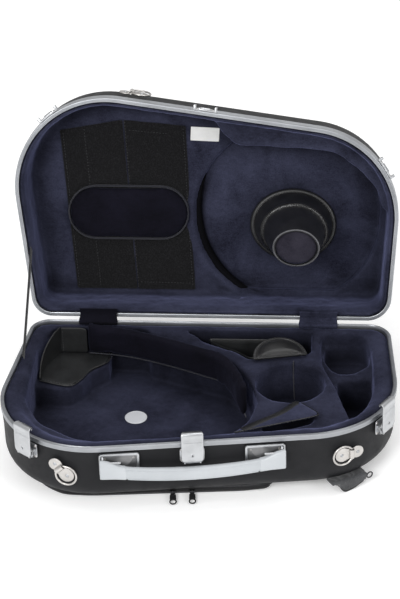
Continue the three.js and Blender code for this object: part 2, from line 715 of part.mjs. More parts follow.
buildShells();
buildBaseLiner();
buildBaseContents();
buildFlaps();
buildLidLiner();
buildLidContents();
buildCone();
Object.entries(LATCH_SPOTS).forEach(([side, spot]) => buildLatch(side, spot));
buildStrapRing(base, cornerSpot(FRONT_LEFT, 102.3), -51, 45, 'left');
buildStrapRing(base, cornerSpot(FRONT_RIGHT, 64), -44.5, 180, 'right');
buildStrapRing(lidFrame, frontSpot(-100), 48, 0, 'lid');
buildHandle();
buildHinges();
buildStayStrap();
buildOuterPocket();
buildStrapPouch();

// The origin is the bottom centre of the whole open case.
horn_case.updateMatrixWorld(true);
const box = new THREE.Box3().setFromObject(horn_case);
const centre = box.getCenter(new THREE.Vector3());
horn_case.position.set(-centre.x, -centre.y, -box.min.z);

export default horn_case;
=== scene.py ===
import json
from math import atan2, copysign, cos, degrees, dist, exp, hypot, pi, radians, sin, sqrt, tan

import bmesh
import bpy
from mathutils import Matrix, Vector, noise


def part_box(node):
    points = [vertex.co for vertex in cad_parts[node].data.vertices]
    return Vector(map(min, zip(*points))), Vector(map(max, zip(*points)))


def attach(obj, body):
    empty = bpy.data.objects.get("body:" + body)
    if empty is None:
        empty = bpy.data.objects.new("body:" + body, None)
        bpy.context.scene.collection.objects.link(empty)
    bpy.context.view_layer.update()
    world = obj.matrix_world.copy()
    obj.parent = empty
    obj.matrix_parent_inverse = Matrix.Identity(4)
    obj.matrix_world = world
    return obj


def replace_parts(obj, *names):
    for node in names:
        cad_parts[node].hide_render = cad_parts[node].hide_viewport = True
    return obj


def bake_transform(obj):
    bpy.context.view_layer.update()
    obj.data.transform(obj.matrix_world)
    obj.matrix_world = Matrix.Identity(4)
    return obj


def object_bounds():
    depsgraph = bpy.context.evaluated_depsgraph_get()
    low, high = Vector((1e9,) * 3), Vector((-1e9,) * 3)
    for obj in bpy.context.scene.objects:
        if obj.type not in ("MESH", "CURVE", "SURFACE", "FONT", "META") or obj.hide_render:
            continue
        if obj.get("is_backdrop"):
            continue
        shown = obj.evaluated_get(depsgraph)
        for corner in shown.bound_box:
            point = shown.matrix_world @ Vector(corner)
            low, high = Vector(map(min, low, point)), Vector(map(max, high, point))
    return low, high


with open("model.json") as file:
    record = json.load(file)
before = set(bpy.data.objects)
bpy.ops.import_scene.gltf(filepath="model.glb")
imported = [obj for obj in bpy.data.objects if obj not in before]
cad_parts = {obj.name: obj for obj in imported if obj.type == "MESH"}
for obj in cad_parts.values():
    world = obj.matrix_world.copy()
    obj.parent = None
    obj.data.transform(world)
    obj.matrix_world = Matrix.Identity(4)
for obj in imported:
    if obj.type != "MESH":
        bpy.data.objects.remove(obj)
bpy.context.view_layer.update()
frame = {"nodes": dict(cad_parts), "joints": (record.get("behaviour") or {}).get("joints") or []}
nodes = frame["nodes"]

# ---------------------------------------------------------------- driving dimensions

MM = 0.001
FRONT_LEFT = (-152, 217, 150)
REAR_LEFT = (-245, 34, 34)
REAR_RIGHT = (272, 40, 40)
FRONT_RIGHT = (171, 172, 150)
CIRCLES = (FRONT_LEFT, REAR_LEFT, REAR_RIGHT, FRONT_RIGHT)
MIN_RADIUS = 2
BASE_DEPTH = 105
LID_DEPTH = 108
LID_ANGLE = radians(105)
HINGE_Y = 3
SHELL_WALL = 2.6
SHELL_DRAFT = 0.04
SHELL_FILLET = 35
LID_FLOOR = 80
RECESS_FLOOR = 92
CONE_ROOT = (148.8, 137.5)
CONE_TIP = (157.5, 139.7)
CONE_ROOT_H = 84
CONE_TIP_H = -65
CONE_TIP_LEAN = radians(23)
CONE_ROOT_SQUASH = 0.865
BELL_RECESS = (141, 158, 153)
ROUND_POCKET = (152, 152, 57)
LEATHER_NOOK = [(12, 30), (36, 51), (62, 65), (86, 86), (128, 78), (126, 30)]

# ---------------------------------------------------------------- frames

hinge = next(j for j in frame["joints"] if j["name"] == "lid_hinge")
rim_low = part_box("base_rim")[0]
plan_left = FRONT_LEFT[0] - FRONT_LEFT[2]
BASE = Matrix.Translation((
    rim_low.x - plan_left * MM, hinge["pos_m"][1] - HINGE_Y * MM, hinge["pos_m"][2],
)) @ Matrix.Scale(MM, 4)
LID = (
    BASE @ Matrix.Translation((0, HINGE_Y, 0)) @ Matrix.Rotation(-LID_ANGLE, 4, "X")
    @ Matrix.Translation((0, -HINGE_Y, 0))
)


def shift(x=0, y=0, z=0):
    return Matrix.Translation((x, y, z))


def turn(angle, axis):
    return Matrix.Rotation(radians(angle), 4, axis)


# ---------------------------------------------------------------- plan outline


def edge_normal(a, b):
    """Outward normal, as an angle, of the straight edge that joins two of the plan circles."""
    dx, dv = b[0] - a[0], b[1] - a[1]
    length = hypot(dx, dv)
    along = (a[2] - b[2]) / length
    across = sqrt(1 - along * along)
    return atan2((dv * along - dx * across) / length, (dx * along + dv * across) / length)


def outline(offset, arc_step=4, straight_step=14):
    """The plan outline at an offset: arcs and straights both divided, always into as many points."""
    points = []
    count = len(CIRCLES)
    for i, circle in enumerate(CIRCLES):
        before, after = CIRCLES[i - 1], CIRCLES[(i + 1) % count]
        start = edge_normal(before, circle)
        end = edge_normal(circle, after)
        span = (end - start) % (2 * pi)
        steps = max(3, round(degrees(span) / arc_step))
        radius = max(circle[2] + offset, MIN_RADIUS)
        for k in range(steps + 1):
            a = start + span * k / steps
            points.append((circle[0] + radius * cos(a), circle[1] + radius * sin(a)))
        next_radius = max(after[2] + offset, MIN_RADIUS)
        corner = (after[0] + next_radius * cos(end), after[1] + next_radius * sin(end))
        length = dist((circle[0], circle[1]), (after[0], after[1]))
        pieces = max(1, round(length / straight_step))
        first = points[-1]
        for k in range(1, pieces):
            t = k / pieces
            points.append((first[0] + (corner[0] - first[0]) * t, first[1] + (corner[1] - first[1]) * t))
    return points


def ring(offset, z):
    """The plan outline at an offset and a height."""
    return [(x, -v, z) for x, v in outline(offset)]


def drawn(points):
    """Plan points in a mesh's own X-Y, where Y runs to the rear."""
    return [(x, -v) for x, v in points]


def corner_spot(circle, angle):
    """A spot on a rounded corner's outer wall: its plan point and the way out, as an angle."""
    a = radians(angle)
    return (circle[0] + circle[2] * cos(a), circle[1] + circle[2] * sin(a), a)


def front_spot(x):
    """A spot on the straight front wall, at a given x."""
    a = edge_normal(FRONT_RIGHT, FRONT_LEFT)
    sx, sv, _ = corner_spot(FRONT_LEFT, degrees(a))
    slope = (FRONT_RIGHT[1] - FRONT_LEFT[1]) / (FRONT_RIGHT[0] - FRONT_LEFT[0])
    return (x, sv + slope * (x - sx), a)


def wall(parent, spot, z=0):
    """The frame of a spot on the outer wall: X runs right along the wall and -Y points out."""
    x, v, a = spot
    return parent @ shift(x, -v, z) @ Matrix.Rotation(atan2(cos(a), sin(a)), 4, "Z")


# ---------------------------------------------------------------- mesh helpers


def make(name, verts, faces, matrix, mat, body="base", sharp=35):
    """A mesh object from millimetre points, riding on a body."""
    mesh = bpy.data.meshes.new(name)
    mesh.from_pydata([matrix @ Vector(v) for v in verts], [], faces)
    bm = bmesh.new()
    bm.from_mesh(mesh)
    bmesh.ops.remove_doubles(bm, verts=bm.verts, dist=1e-6)
    bmesh.ops.recalc_face_normals(bm, faces=bm.faces)
    bm.to_mesh(mesh)
    bm.free()
    return finish_mesh(name, mesh, mat, body, sharp)


def finish_mesh(name, mesh, mat, body="base", sharp=35):
    mesh.materials.clear()
    mesh.materials.append(mat)
    mesh.shade_smooth()
    if sharp < 180:
        mesh.set_sharp_from_angle(angle=radians(sharp))
    obj = bpy.data.objects.new(name, mesh)
    bpy.context.scene.collection.objects.link(obj)
    if body:
        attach(obj, body)
    return obj


def loft_faces(rings, sides, closed=False, caps=True):
    faces = []
    for i in range(rings if closed else rings - 1):
        a, b = i * sides, (i + 1) % rings * sides
        for k in range(sides):
            n = (k + 1) % sides
            faces.append((a + k, a + n, b + n, b + k))
    if caps and not closed:
        faces.append(tuple(range(sides))[::-1])
        faces.append(tuple((rings - 1) * sides + k for k in range(sides)))
    return faces


def loft(name, rings, matrix, mat, body="base", closed=False, caps=True, sharp=35):
    verts = [p for r in rings for p in r]
    faces = loft_faces(len(rings), len(rings[0]), closed, caps)
    return make(name, verts, faces, matrix, mat, body, sharp)


def spline(points, per=8, closed=False):
    """A smooth line through the points."""
    pts = [Vector(p) for p in points]
    n = len(pts)
    out = []
    for i in range(n if closed else n - 1):
        if closed:
            p0, p1, p2, p3 = (pts[(i + k - 1) % n] for k in range(4))
        else:
            p0, p1, p2, p3 = pts[max(i - 1, 0)], pts[i], pts[i + 1], pts[min(i + 2, n - 1)]
        for k in range(per):
            t = k / per
            out.append(0.5 * (
                2 * p1 + (p2 - p0) * t + (2 * p0 - 5 * p1 + 4 * p2 - p3) * t * t
                + (3 * p1 - p0 - 3 * p2 + p3) * t ** 3
            ))
    if not closed:
        out.append(pts[-1])
    return out


def tube_rings(points, radius, sides=8, closed=False):
    """Rings of a round tube along a line, carried along it without a twist."""
    pts = [Vector(p) for p in points]
    n = len(pts)
    rings = []
    normal = None
    for i, p in enumerate(pts):
        if closed:
            tangent = (pts[(i + 1) % n] - pts[i - 1]).normalized()
        else:
            tangent = (pts[min(i + 1, n - 1)] - pts[max(i - 1, 0)]).normalized()
        if normal is None:
            normal = tangent.orthogonal().normalized()
        normal = (normal - tangent * normal.dot(tangent)).normalized()
        side = tangent.cross(normal)
        rings.append([
            tuple(p + radius * (cos(a) * normal + sin(a) * side))
            for a in (2 * pi * k / sides for k in range(sides))
        ])
    return rings


def tube(name, points, radius, matrix, mat, body="base", sides=8, closed=False):
    rings = tube_rings(points, radius, sides, closed)
    return loft(name, rings, matrix, mat, body, closed=closed, sharp=60)


def strip(name, path, widths, thickness, matrix, mat, body="base", x=0, corner=None):
    """A bent sheet with rounded edges: path is (y, z) points, widths are half widths along it."""
    r = thickness / 2 if corner is None else corner
    half = thickness / 2
    rings = []
    n = len(path)
    for i, (y, z) in enumerate(path):
        y0, z0 = path[max(i - 1, 0)]
        y1, z1 = path[min(i + 1, n - 1)]
        length = hypot(y1 - y0, z1 - z0)
        ny, nz = -(z1 - z0) / length, (y1 - y0) / length
        w = widths[i]
        section = []
        for cx, cd, start in ((w - r, half - r, 0), (-w + r, half - r, 90), (-w + r, r - half, 180),
                              (w - r, r - half, 270)):
            for k in range(4):
                a = radians(start + 30 * k)
                section.append((cx + r * cos(a), cd + r * sin(a)))
        rings.append([(x + sx, y + ny * d, z + nz * d) for sx, d in section])
    return loft(name, rings, matrix, mat, body, sharp=50)


def rounded(points, radius, steps=5):
    """A plan polygon with every corner turned into an arc-like curve."""
    out = []
    n = len(points)
    for i, p in enumerate(points):
        p, a, b = Vector(p), Vector(points[i - 1]), Vector(points[(i + 1) % n])
        ra = min(radius, (a - p).length * 0.48)
        rb = min(radius, (b - p).length * 0.48)
        start, end = p + (a - p).normalized() * ra, p + (b - p).normalized() * rb
        for k in range(steps + 1):
            t = k / steps
            out.append(tuple(start * (1 - t) ** 2 + 2 * p * t * (1 - t) + end * t * t))
    return out


def divided(shape, step):
    """A closed outline with every side divided into pieces no longer than about a step."""
    out = []
    for a, b in zip(shape, shape[1:] + shape[:1]):
        count = max(1, int(dist(a, b) / step))
        out += [(a[0] + (b[0] - a[0]) * k / count, a[1] + (b[1] - a[1]) * k / count) for k in range(count)]
    return out


def polar(radius, angle, cx=0, cy=0):
    """The point at a distance and an angle in degrees from a centre."""
    return (cx + radius * cos(radians(angle)), cy + radius * sin(radians(angle)))


def inset(points, distance):
    """The polygon moved inward by a distance, point by point."""
    n = len(points)
    area = sum(points[i - 1][0] * points[i][1] - points[i][0] * points[i - 1][1] for i in range(n))
    sign = 1 if area > 0 else -1
    out = []
    for i in range(n):
        (x0, y0), (x1, y1) = points[i - 1], points[(i + 1) % n]
        dx, dy = x1 - x0, y1 - y0
        length = hypot(dx, dy) or 1
        out.append((points[i][0] - sign * dy / length * distance,
                    points[i][1] + sign * dx / length * distance))
    return out


def slab(name, points, low, high, edge, matrix, mat, body="base", crown=0.0):
    """A plate over an X-Y outline, its edges rounded by `edge` and its faces crowned."""
    steps = 3
    lower = [[(x, y, low + edge * (1 - cos(pi / 2 * k / steps)))
              for x, y in inset(points, edge * (1 - sin(pi / 2 * k / steps)))]
             for k in range(steps + 1)]
    upper = [[(x, y, high - edge * (1 - cos(pi / 2 * k / steps)))
              for x, y in inset(points, edge * (1 - sin(pi / 2 * k / steps)))]
             for k in range(steps, -1, -1)]
    rings = lower + upper
    if crown:
        cx = sum(p[0] for p in points) / len(points)
        cy = sum(p[1] for p in points) / len(points)
        for t in (0.75, 0.5, 0.25):
            rings.append([(cx + (x - cx) * t, cy + (y - cy) * t, high + crown * (1 - t * t))
                          for x, y in points])
    return loft(name, rings, matrix, mat, body)


def circle(radius, sides=32, cx=0, cy=0):
    return [(cx + radius * cos(2 * pi * k / sides), cy + radius * sin(2 * pi * k / sides))
            for k in range(sides)]


# A slab drawn in X-Y turned to stand on a wall: its Y becomes Z and its low side faces the wall.
FACE = turn(90, "X")
# A slab drawn in Y-Z: its thickness runs along X.
EDGE = Matrix(((0, 0, 1, 0), (1, 0, 0, 0), (0, 1, 0, 0), (0, 0, 0, 1)))


def apply_modifiers(obj):
    graph = bpy.context.evaluated_depsgraph_get()
    mesh = bpy.data.meshes.new_from_object(obj.evaluated_get(graph))
    obj.modifiers.clear()
    obj.data = mesh
    return obj


def refine(node, body, bevel):
    """A steel copy of a rigid CAD node with its hard edges bevelled, standing for that node."""
    mesh = nodes[node].data.copy()
    bm = bmesh.new()
    bm.from_mesh(mesh)
    bmesh.ops.remove_doubles(bm, verts=bm.verts, dist=2e-6)
    bmesh.ops.dissolve_limit(
        bm, angle_limit=radians(1), verts=bm.verts, edges=bm.edges, delimit={"NORMAL"})
    bm.to_mesh(mesh)
    bm.free()
    obj = finish_mesh(node + "_metal", mesh, STEEL, body)
    modifier = obj.modifiers.new("bevel", "BEVEL")
    modifier.width = bevel * MM
    modifier.segments = 2
    modifier.limit_method = "ANGLE"
    modifier.angle_limit = radians(28)
    modifier.use_clamp_overlap = True
    modifier.harden_normals = False
    apply_modifiers(obj)
    obj.data.shade_smooth()
    obj.data.set_sharp_from_angle(angle=radians(40))
    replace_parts(obj, node)
    return obj


def remesh(obj, voxel, smooth):
    """An even voxel skin over the mesh, smoothed a number of times."""
    modifier = obj.modifiers.new("remesh", "REMESH")
    modifier.mode = "VOXEL"
    modifier.voxel_size = voxel
    modifier.use_smooth_shade = True
    modifier = obj.modifiers.new("smooth", "SMOOTH")
    modifier.factor = 0.5
    modifier.iterations = smooth
    return apply_modifiers(obj)


def puff(obj, pressure=4.0, cap=0.006, frames=20):
    """Inflates a remeshed pad with the cloth solver and keeps each point within `cap` metres."""
    scene = bpy.context.scene
    start = [v.co.copy() for v in obj.data.vertices]
    modifier = obj.modifiers.new("cloth", "CLOTH")
    settings = modifier.settings
    settings.use_pressure = True
    settings.uniform_pressure_force = pressure
    settings.effector_weights.gravity = 0
    modifier.collision_settings.use_collision = False
    for number in range(1, frames + 1):
        scene.frame_set(number)
    graph = bpy.context.evaluated_depsgraph_get()
    moved = [v.co.copy() for v in obj.evaluated_get(graph).data.vertices]
    obj.modifiers.remove(modifier)
    for vertex, a, b in zip(obj.data.vertices, start, moved):
        step = b - a
        if step.length > cap:
            step *= cap / step.length
        vertex.co = a + step
    scene.frame_set(1)
    return obj


def soft_copy(node, name, mat, body, voxel, smooth, swell=0.0, rough=0.0, grain=60.0):
    """A remeshed, softened copy of a CAD pad. Its skin swells a little and gets an uneven surface."""
    obj = finish_mesh(name, nodes[node].data.copy(), mat, body, sharp=180)
    remesh(obj, voxel, smooth)
    obj.data.materials.clear()
    obj.data.materials.append(mat)
    mesh = obj.data
    normals = [v.normal.copy() for v in mesh.vertices]
    for vertex, normal in zip(mesh.vertices, normals):
        bump = noise.noise(vertex.co * grain) + 0.5 * noise.noise(vertex.co * grain * 2.7)
        vertex.co += normal * (swell + rough * bump)
    mesh.shade_smooth()
    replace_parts(obj, node)
    return obj


def stitches(name, points, matrix, mat, body="base", length=3.2, gap=1.8, radius=0.35):
    """A row of short thread dashes along a line, as one mesh."""
    pts = [Vector(p) for p in points]
    verts, faces = [], []
    travelled = 0.0
    dash = []
    for a, b in zip(pts, pts[1:]):
        seg = (b - a).length
        steps = max(1, int(seg / 0.8))
        for k in range(steps):
            p = a.lerp(b, k / steps)
            phase = travelled % (length + gap)
            if phase < length:
                dash.append(p)
            elif dash:
                add_dash(verts, faces, dash, radius)
                dash = []
            travelled += seg / steps
    if dash:
        add_dash(verts, faces, dash, radius)
    return make(name, verts, faces, matrix, mat, body, sharp=80)


def add_dash(verts, faces, points, radius, sides=5):
    """Adds one thread dash, tapered at both ends."""
    if len(points) < 2:
        return
    spine = (points[0], points[len(points) // 2], points[-1])
    first = len(verts)
    for r, taper, c in zip(tube_rings(spine, radius, sides), (0.35, 1.0, 0.35), spine):
        verts.extend(tuple(Vector(c) + (Vector(p) - Vector(c)) * taper) for p in r)
    faces.extend(tuple(first + i for i in f) for f in loft_faces(3, sides))


# ---------------------------------------------------------------- materials


class Look:
    """A Principled material with procedural inputs in the object's own coordinates."""

    def __init__(self, name, roughness=0.5, metallic=0.0, **sockets):
        self.mat = bpy.data.materials.new(name)
        self.mat.use_nodes = True
        self.tree = self.mat.node_tree
        self.shader = self.tree.nodes["Principled BSDF"]
        self.set("Roughness", roughness)
        self.set("Metallic", metallic)
        for key, value in sockets.items():
            self.set(key.replace("_", " "), value)
        self.coords = self.tree.nodes.new("ShaderNodeTexCoord").outputs["Object"]

    def set(self, socket, value):
        target = self.shader.inputs[socket]
        if isinstance(value, bpy.types.NodeSocket):
            self.tree.links.new(value, target)
        else:
            target.default_value = value

    def stretched(self, x, y, z):
        node = self.tree.nodes.new("ShaderNodeMapping")
        node.inputs["Scale"].default_value = (x, y, z)
        self.tree.links.new(self.coords, node.inputs["Vector"])
        return node.outputs["Vector"]

    def noise(self, scale, detail=3.0, rough=0.5, distortion=0.0, coords=None):
        node = self.tree.nodes.new("ShaderNodeTexNoise")
        node.inputs["Scale"].default_value = scale
        node.inputs["Detail"].default_value = detail
        node.inputs["Roughness"].default_value = rough
        node.inputs["Distortion"].default_value = distortion
        self.tree.links.new(coords or self.coords, node.inputs["Vector"])
        return node.outputs["Fac"]

    def cells(self, scale, feature="F1", coords=None):
        node = self.tree.nodes.new("ShaderNodeTexVoronoi")
        node.feature = feature
        node.inputs["Scale"].default_value = scale
        self.tree.links.new(coords or self.coords, node.inputs["Vector"])
        return node.outputs["Distance"]

    def wave(self, scale, direction, distortion=0.0):
        node = self.tree.nodes.new("ShaderNodeTexWave")
        node.bands_direction = direction
        node.inputs["Scale"].default_value = scale
        node.inputs["Distortion"].default_value = distortion
        self.tree.links.new(self.coords, node.inputs["Vector"])
        return node.outputs["Fac"]

    def math(self, operation, a, b):
        node = self.tree.nodes.new("ShaderNodeMath")
        node.operation = operation
        for i, value in enumerate((a, b)):
            if isinstance(value, bpy.types.NodeSocket):
                self.tree.links.new(value, node.inputs[i])
            else:
                node.inputs[i].default_value = value
        return node.outputs[0]

    def ramp(self, value, *stops):
        """Colour stops (position, colour) over a value."""
        node = self.tree.nodes.new("ShaderNodeValToRGB")
        ramp = node.color_ramp
        while len(ramp.elements) < len(stops):
            ramp.elements.new(0.5)
        for element, (position, colour) in zip(ramp.elements, stops):
            element.position = position
            element.color = (*colour, 1) if len(colour) == 3 else colour
        self.tree.links.new(value, node.inputs["Fac"])
        return node.outputs["Color"]

    def spread(self, value, low, high, from_low=0.3, from_high=0.7):
        """A value mapped to low..high."""
        node = self.tree.nodes.new("ShaderNodeMapRange")
        node.inputs["From Min"].default_value = from_low
        node.inputs["From Max"].default_value = from_high
        node.inputs["To Min"].default_value = low
        node.inputs["To Max"].default_value = high
        self.tree.links.new(value, node.inputs["Value"])
        return node.outputs["Result"]

    def painted_occlusion_shade(self, colour, reach, low, high):
        """Painted shade and light: the colour darkened where other surfaces close in on it, and scaled up to
        `high` where it lies open.
        """
        open_sky = self.tree.nodes.new("ShaderNodeAmbientOcclusion")
        open_sky.samples = 6
        open_sky.inputs["Distance"].default_value = reach
        node = self.tree.nodes.new("ShaderNodeVectorMath")
        node.operation = "SCALE"
        self.tree.links.new(colour, node.inputs["Vector"])
        self.tree.links.new(self.spread(open_sky.outputs["AO"], low, high, 0.35, 1.0), node.inputs["Scale"])
        return node.outputs["Vector"]

    def bump(self, height, strength, distance, after=None):
        node = self.tree.nodes.new("ShaderNodeBump")
        node.inputs["Strength"].default_value = strength
        node.inputs["Distance"].default_value = distance
        self.tree.links.new(height, node.inputs["Height"])
        if after is not None:
            self.tree.links.new(after, node.inputs["Normal"])
        self.set("Normal", node.outputs["Normal"])
        return node.outputs["Normal"]


def plush(name, dark, light, sheen=0.5, patches=13.0):
    """Short velvet pile: brushed patches, a fine speckle of fibres, a soft edge glow, and painted shade in
    its creases and hollows.
    """
    look = Look(name, roughness=0.92, Sheen_Weight=sheen, Sheen_Roughness=0.38,
                Sheen_Tint=(0.42, 0.46, 0.85, 1), Specular_IOR_Level=0.12)
    nap = look.noise(patches, 4, 0.55, 0.6)
    streak = look.noise(1.0, 3, 0.6, 0.2, look.stretched(110, 110, 260))
    fibre = look.noise(620, 2, 0.7)
    value = look.math("ADD", look.math("MULTIPLY", nap, 0.5), look.math("MULTIPLY", fibre, 0.34))
    value = look.math("ADD", value, look.math("MULTIPLY", streak, 0.16))
    pile = look.ramp(value, (0.34, dark), (0.66, light))
    # Painted shade and light: the pile is darkened where other surfaces close in and lightened where it lies
    # open.
    look.set("Base Color", look.painted_occlusion_shade(pile, 0.055, 0.30, 1.25))
    first = look.bump(streak, 0.25, 0.0012)
    look.bump(fibre, 0.55, 0.0007, first)
    return look.mat


def loop_pile(name, dark, light):
    """A brushed loop fabric: coarser and dustier than plush."""
    look = Look(name, roughness=0.95, Sheen_Weight=0.10, Sheen_Roughness=0.6, Specular_IOR_Level=0.08)
    curls = look.cells(520)
    dust = look.noise(900, 2, 0.8)
    value = look.math("ADD", look.math("MULTIPLY", curls, 0.45), look.math("MULTIPLY", dust, 0.6))
    look.set("Base Color", look.ramp(value, (0.42, dark), (0.74, light)))
    look.bump(value, 0.7, 0.0010)
    return look.mat


def leather(name, dark, light, roughness=0.42, grain=620):
    look = Look(name, roughness=roughness, Specular_IOR_Level=0.5, Coat_Weight=0.12, Coat_Roughness=0.35)
    pebble = look.cells(grain)
    tone = look.noise(38, 4, 0.6)
    wear = look.noise(9, 3, 0.5)
    look.set("Base Color", look.ramp(tone, (0.35, dark), (0.7, light)))
    look.set("Roughness", look.spread(wear, roughness - 0.08, roughness + 0.12))
    first = look.bump(pebble, 0.42, 0.0005)
    look.bump(look.noise(160, 3, 0.6), 0.2, 0.0006, first)
    return look.mat


def metal(name, colour, roughness, scratch=0.10):
    """Satin plated metal with faint scratches and handling marks."""
    look = Look(name, roughness=roughness, metallic=1.0)
    marks = look.noise(1.0, 4, 0.7, 0.0, look.stretched(90, 90, 1400))
    cloud = look.noise(45, 3, 0.6)
    darker = tuple(c * 0.86 for c in colour)
    look.set("Base Color", look.ramp(cloud, (0.3, darker), (0.62, colour)))
    look.set("Roughness", look.spread(marks, roughness - scratch * 0.6, roughness + scratch))
    look.bump(marks, 0.06, 0.0003)
    return look.mat


def drawn_aluminium(name, colour, roughness):
    look = Look(name, roughness=roughness, metallic=1.0)
    grain = look.noise(1.0, 5, 0.7, 0.0, look.stretched(24, 24, 2600))
    cloud = look.noise(16, 4, 0.6)
    darker = tuple(c * 0.8 for c in colour)
    look.set("Base Color", look.ramp(cloud, (0.32, darker), (0.64, colour)))
    look.set("Roughness", look.spread(grain, roughness - 0.06, roughness + 0.10))
    look.bump(grain, 0.10, 0.0003)
    return look.mat


def moulded(name, dark, light, roughness, grain=900, strength=0.2, gloss=0.45):
    """Moulded plastic or laminate with a fine embossed texture."""
    look = Look(name, roughness=roughness, Specular_IOR_Level=gloss)
    cloud = look.noise(11, 4, 0.6)
    pebble = look.cells(grain)
    look.set("Base Color", look.ramp(cloud, (0.3, dark), (0.7, light)))
    look.set("Roughness", look.spread(look.noise(70, 3, 0.6), roughness - 0.06, roughness + 0.08))
    look.bump(pebble, strength, 0.0004)
    return look.mat


def woven(name, dark, light, threads=520, roughness=0.85):
    """Woven fabric: threads crossing along X and Z, seen on any side."""
    look = Look(name, roughness=roughness, Sheen_Weight=0.25, Sheen_Roughness=0.5, Specular_IOR_Level=0.25)
    warp = look.math("ADD", look.wave(threads, "X"), look.wave(threads, "Y"))
    weft = look.wave(threads, "Z")
    weave = look.math("MULTIPLY", look.math("MULTIPLY", warp, 0.5), weft)
    tone = look.math("ADD", look.math("MULTIPLY", weave, 0.5),
                     look.math("MULTIPLY", look.noise(60, 4, 0.7), 0.6))
    look.set("Base Color", look.ramp(tone, (0.2, dark), (0.75, light)))
    look.bump(weave, 0.5, 0.0005)
    return look.mat


SHELL = moulded("shell_black", (0.0085, 0.0088, 0.0100), (0.0150, 0.0153, 0.0172), 0.55, 760, 0.35, 0.16)
RIM = drawn_aluminium("rim_aluminium", (0.40, 0.413, 0.435), 0.38)
STEEL = metal("hardware_satin", (0.50, 0.51, 0.525), 0.33)
NICKEL = metal("hardware_nickel", (0.56, 0.54, 0.52), 0.34)
# Dark metal for the zip sliders and the pouch's pull ring; it also fills the latch keyholes as painted shade.
DARK_METAL_AND_SHADE = metal("hardware_dark_and_painted_shade", (0.06, 0.06, 0.065), 0.45)
PLUSH = plush("plush_navy", (0.0036, 0.0039, 0.0088), (0.036, 0.039, 0.068), 0.36)
# A darker copy of the navy plush for the base lining: painted shade.
PLUSH_BASE_PAINTED_SHADE = plush("plush_base_painted_shade", (0.0028, 0.0030, 0.0068), (0.026, 0.028, 0.049), 0.30)
# A much darker copy of the plush for the divider pad, the oval pad and the left hinge cover: painted shade.
PLUSH_PAINTED_SHADE = plush("plush_darker_painted_shade", (0.0009, 0.0008, 0.0022), (0.0048, 0.0045, 0.0098), 0.06)
PIPING = woven("piping_navy", (0.007, 0.0075, 0.013), (0.020, 0.021, 0.032), 700)
LOOP = loop_pile("loop_black", (0.0012, 0.0012, 0.0015), (0.0120, 0.0120, 0.0135))
LEATHER = leather("leather_black", (0.0060, 0.0060, 0.0066), (0.0150, 0.0150, 0.0160), 0.40)
LEATHER_LINING = leather("leather_lining", (0.0045, 0.0049, 0.0054), (0.0120, 0.0130, 0.0140), 0.46, 420)
LEATHER_SHINE = leather("leather_polished", (0.0060, 0.0060, 0.0066), (0.0120, 0.0120, 0.0130), 0.16, 900)
LEATHER_SMOOTH = leather("leather_smooth", (0.0055, 0.0055, 0.0062), (0.0120, 0.0120, 0.0130), 0.36, 1100)
BEAD = leather("leather_bead", (0.060, 0.060, 0.066), (0.100, 0.100, 0.108), 0.36, 900)
GRIP = moulded("grip_grey", (0.36, 0.38, 0.40), (0.43, 0.45, 0.47), 0.42, 1500, 0.08)
HANDLE_METAL = moulded("handle_end_satin", (0.40, 0.42, 0.44), (0.47, 0.49, 0.51), 0.34, 1500, 0.06)
STEEL_DULL = metal("hardware_dull", (0.24, 0.24, 0.245), 0.40)
POCKET_CLOTH = woven("pocket_grey", (0.030, 0.031, 0.034), (0.092, 0.094, 0.100), 420)
POUCH_CLOTH = woven("pouch_grey", (0.020, 0.021, 0.023), (0.075, 0.077, 0.083), 420)
# Near-black plush for the strip in the recess's edge gap: painted shadow.
CREASE_PAINTED_SHADOW = plush("plush_crease_painted_shadow", (0.0006, 0.0006, 0.0012), (0.0022, 0.0022, 0.0040), 0.0)
PIPING_GREY = woven("piping_grey", (0.035, 0.035, 0.039), (0.090, 0.090, 0.098), 700)
WEBBING = woven("webbing_black", (0.005, 0.005, 0.006), (0.020, 0.020, 0.022), 800, 0.7)
RUBBER = moulded("pull_black", (0.005, 0.005, 0.006), (0.010, 0.010, 0.011), 0.5, 1200, 0.12)
THREAD = woven("thread_grey", (0.060, 0.060, 0.066), (0.130, 0.130, 0.140), 1500)
THREAD_DARK = woven("thread_dark", (0.026, 0.026, 0.030), (0.070, 0.070, 0.076), 1500)
LABEL = woven("label_white", (0.70, 0.70, 0.69), (0.86, 0.86, 0.85), 900, 0.8)
LABEL_METAL = moulded("badge_silver", (0.50, 0.51, 0.54), (0.62, 0.63, 0.66), 0.38, 1600, 0.1)
CAP_CLOTH = plush("cap_cloth", (0.010, 0.009, 0.014), (0.026, 0.024, 0.034), 0.3, 30.0)

# ---------------------------------------------------------------- shells and rims


def shell_profile(depth, start, offset, inside, steps=10):
    straight = depth - SHELL_FILLET
    foot = offset - SHELL_DRAFT * (straight - start)
    radius = SHELL_FILLET - inside
    points = [(offset - inside, start), (foot - inside + 0.5, (start + straight) / 2)]
    for k in range(steps + 1):
        a = pi / 2 * k / steps
        points.append((foot - SHELL_FILLET + radius * cos(a), straight + radius * sin(a)))
    return points


def build_shells():
    for name, depth, start, offset, up, matrix, body in (
        ("base", BASE_DEPTH, 8.4, -1.3, -1, BASE, "base"), ("lid", LID_DEPTH, 7.4, -2.0, 1, LID, "lid"),
    ):
        inner = shell_profile(depth, start, offset, SHELL_WALL)[::-1]
        profile = inner + shell_profile(depth, start, offset, 0)
        piece = loft(name + "_shell_skin", [ring(o, up * z) for o, z in profile], matrix, SHELL, body)
        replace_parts(piece, name + "_shell")


def groove(offset, depth, width, fall):
    """A shallow groove across the rim's face at an offset."""
    return [(offset + width / 2, depth), (offset + width / 2 - 0.25, depth + fall),
            (offset - width / 2 + 0.25, depth + fall), (offset - width / 2, depth)]


def side_groove(offset, depth, width, fall):
    """A shallow groove down the rim's outer side at a depth."""
    return [(offset, depth + width / 2), (offset - fall, depth + width / 2 - 0.25),
            (offset - fall, depth - width / 2 + 0.25), (offset, depth - width / 2)]


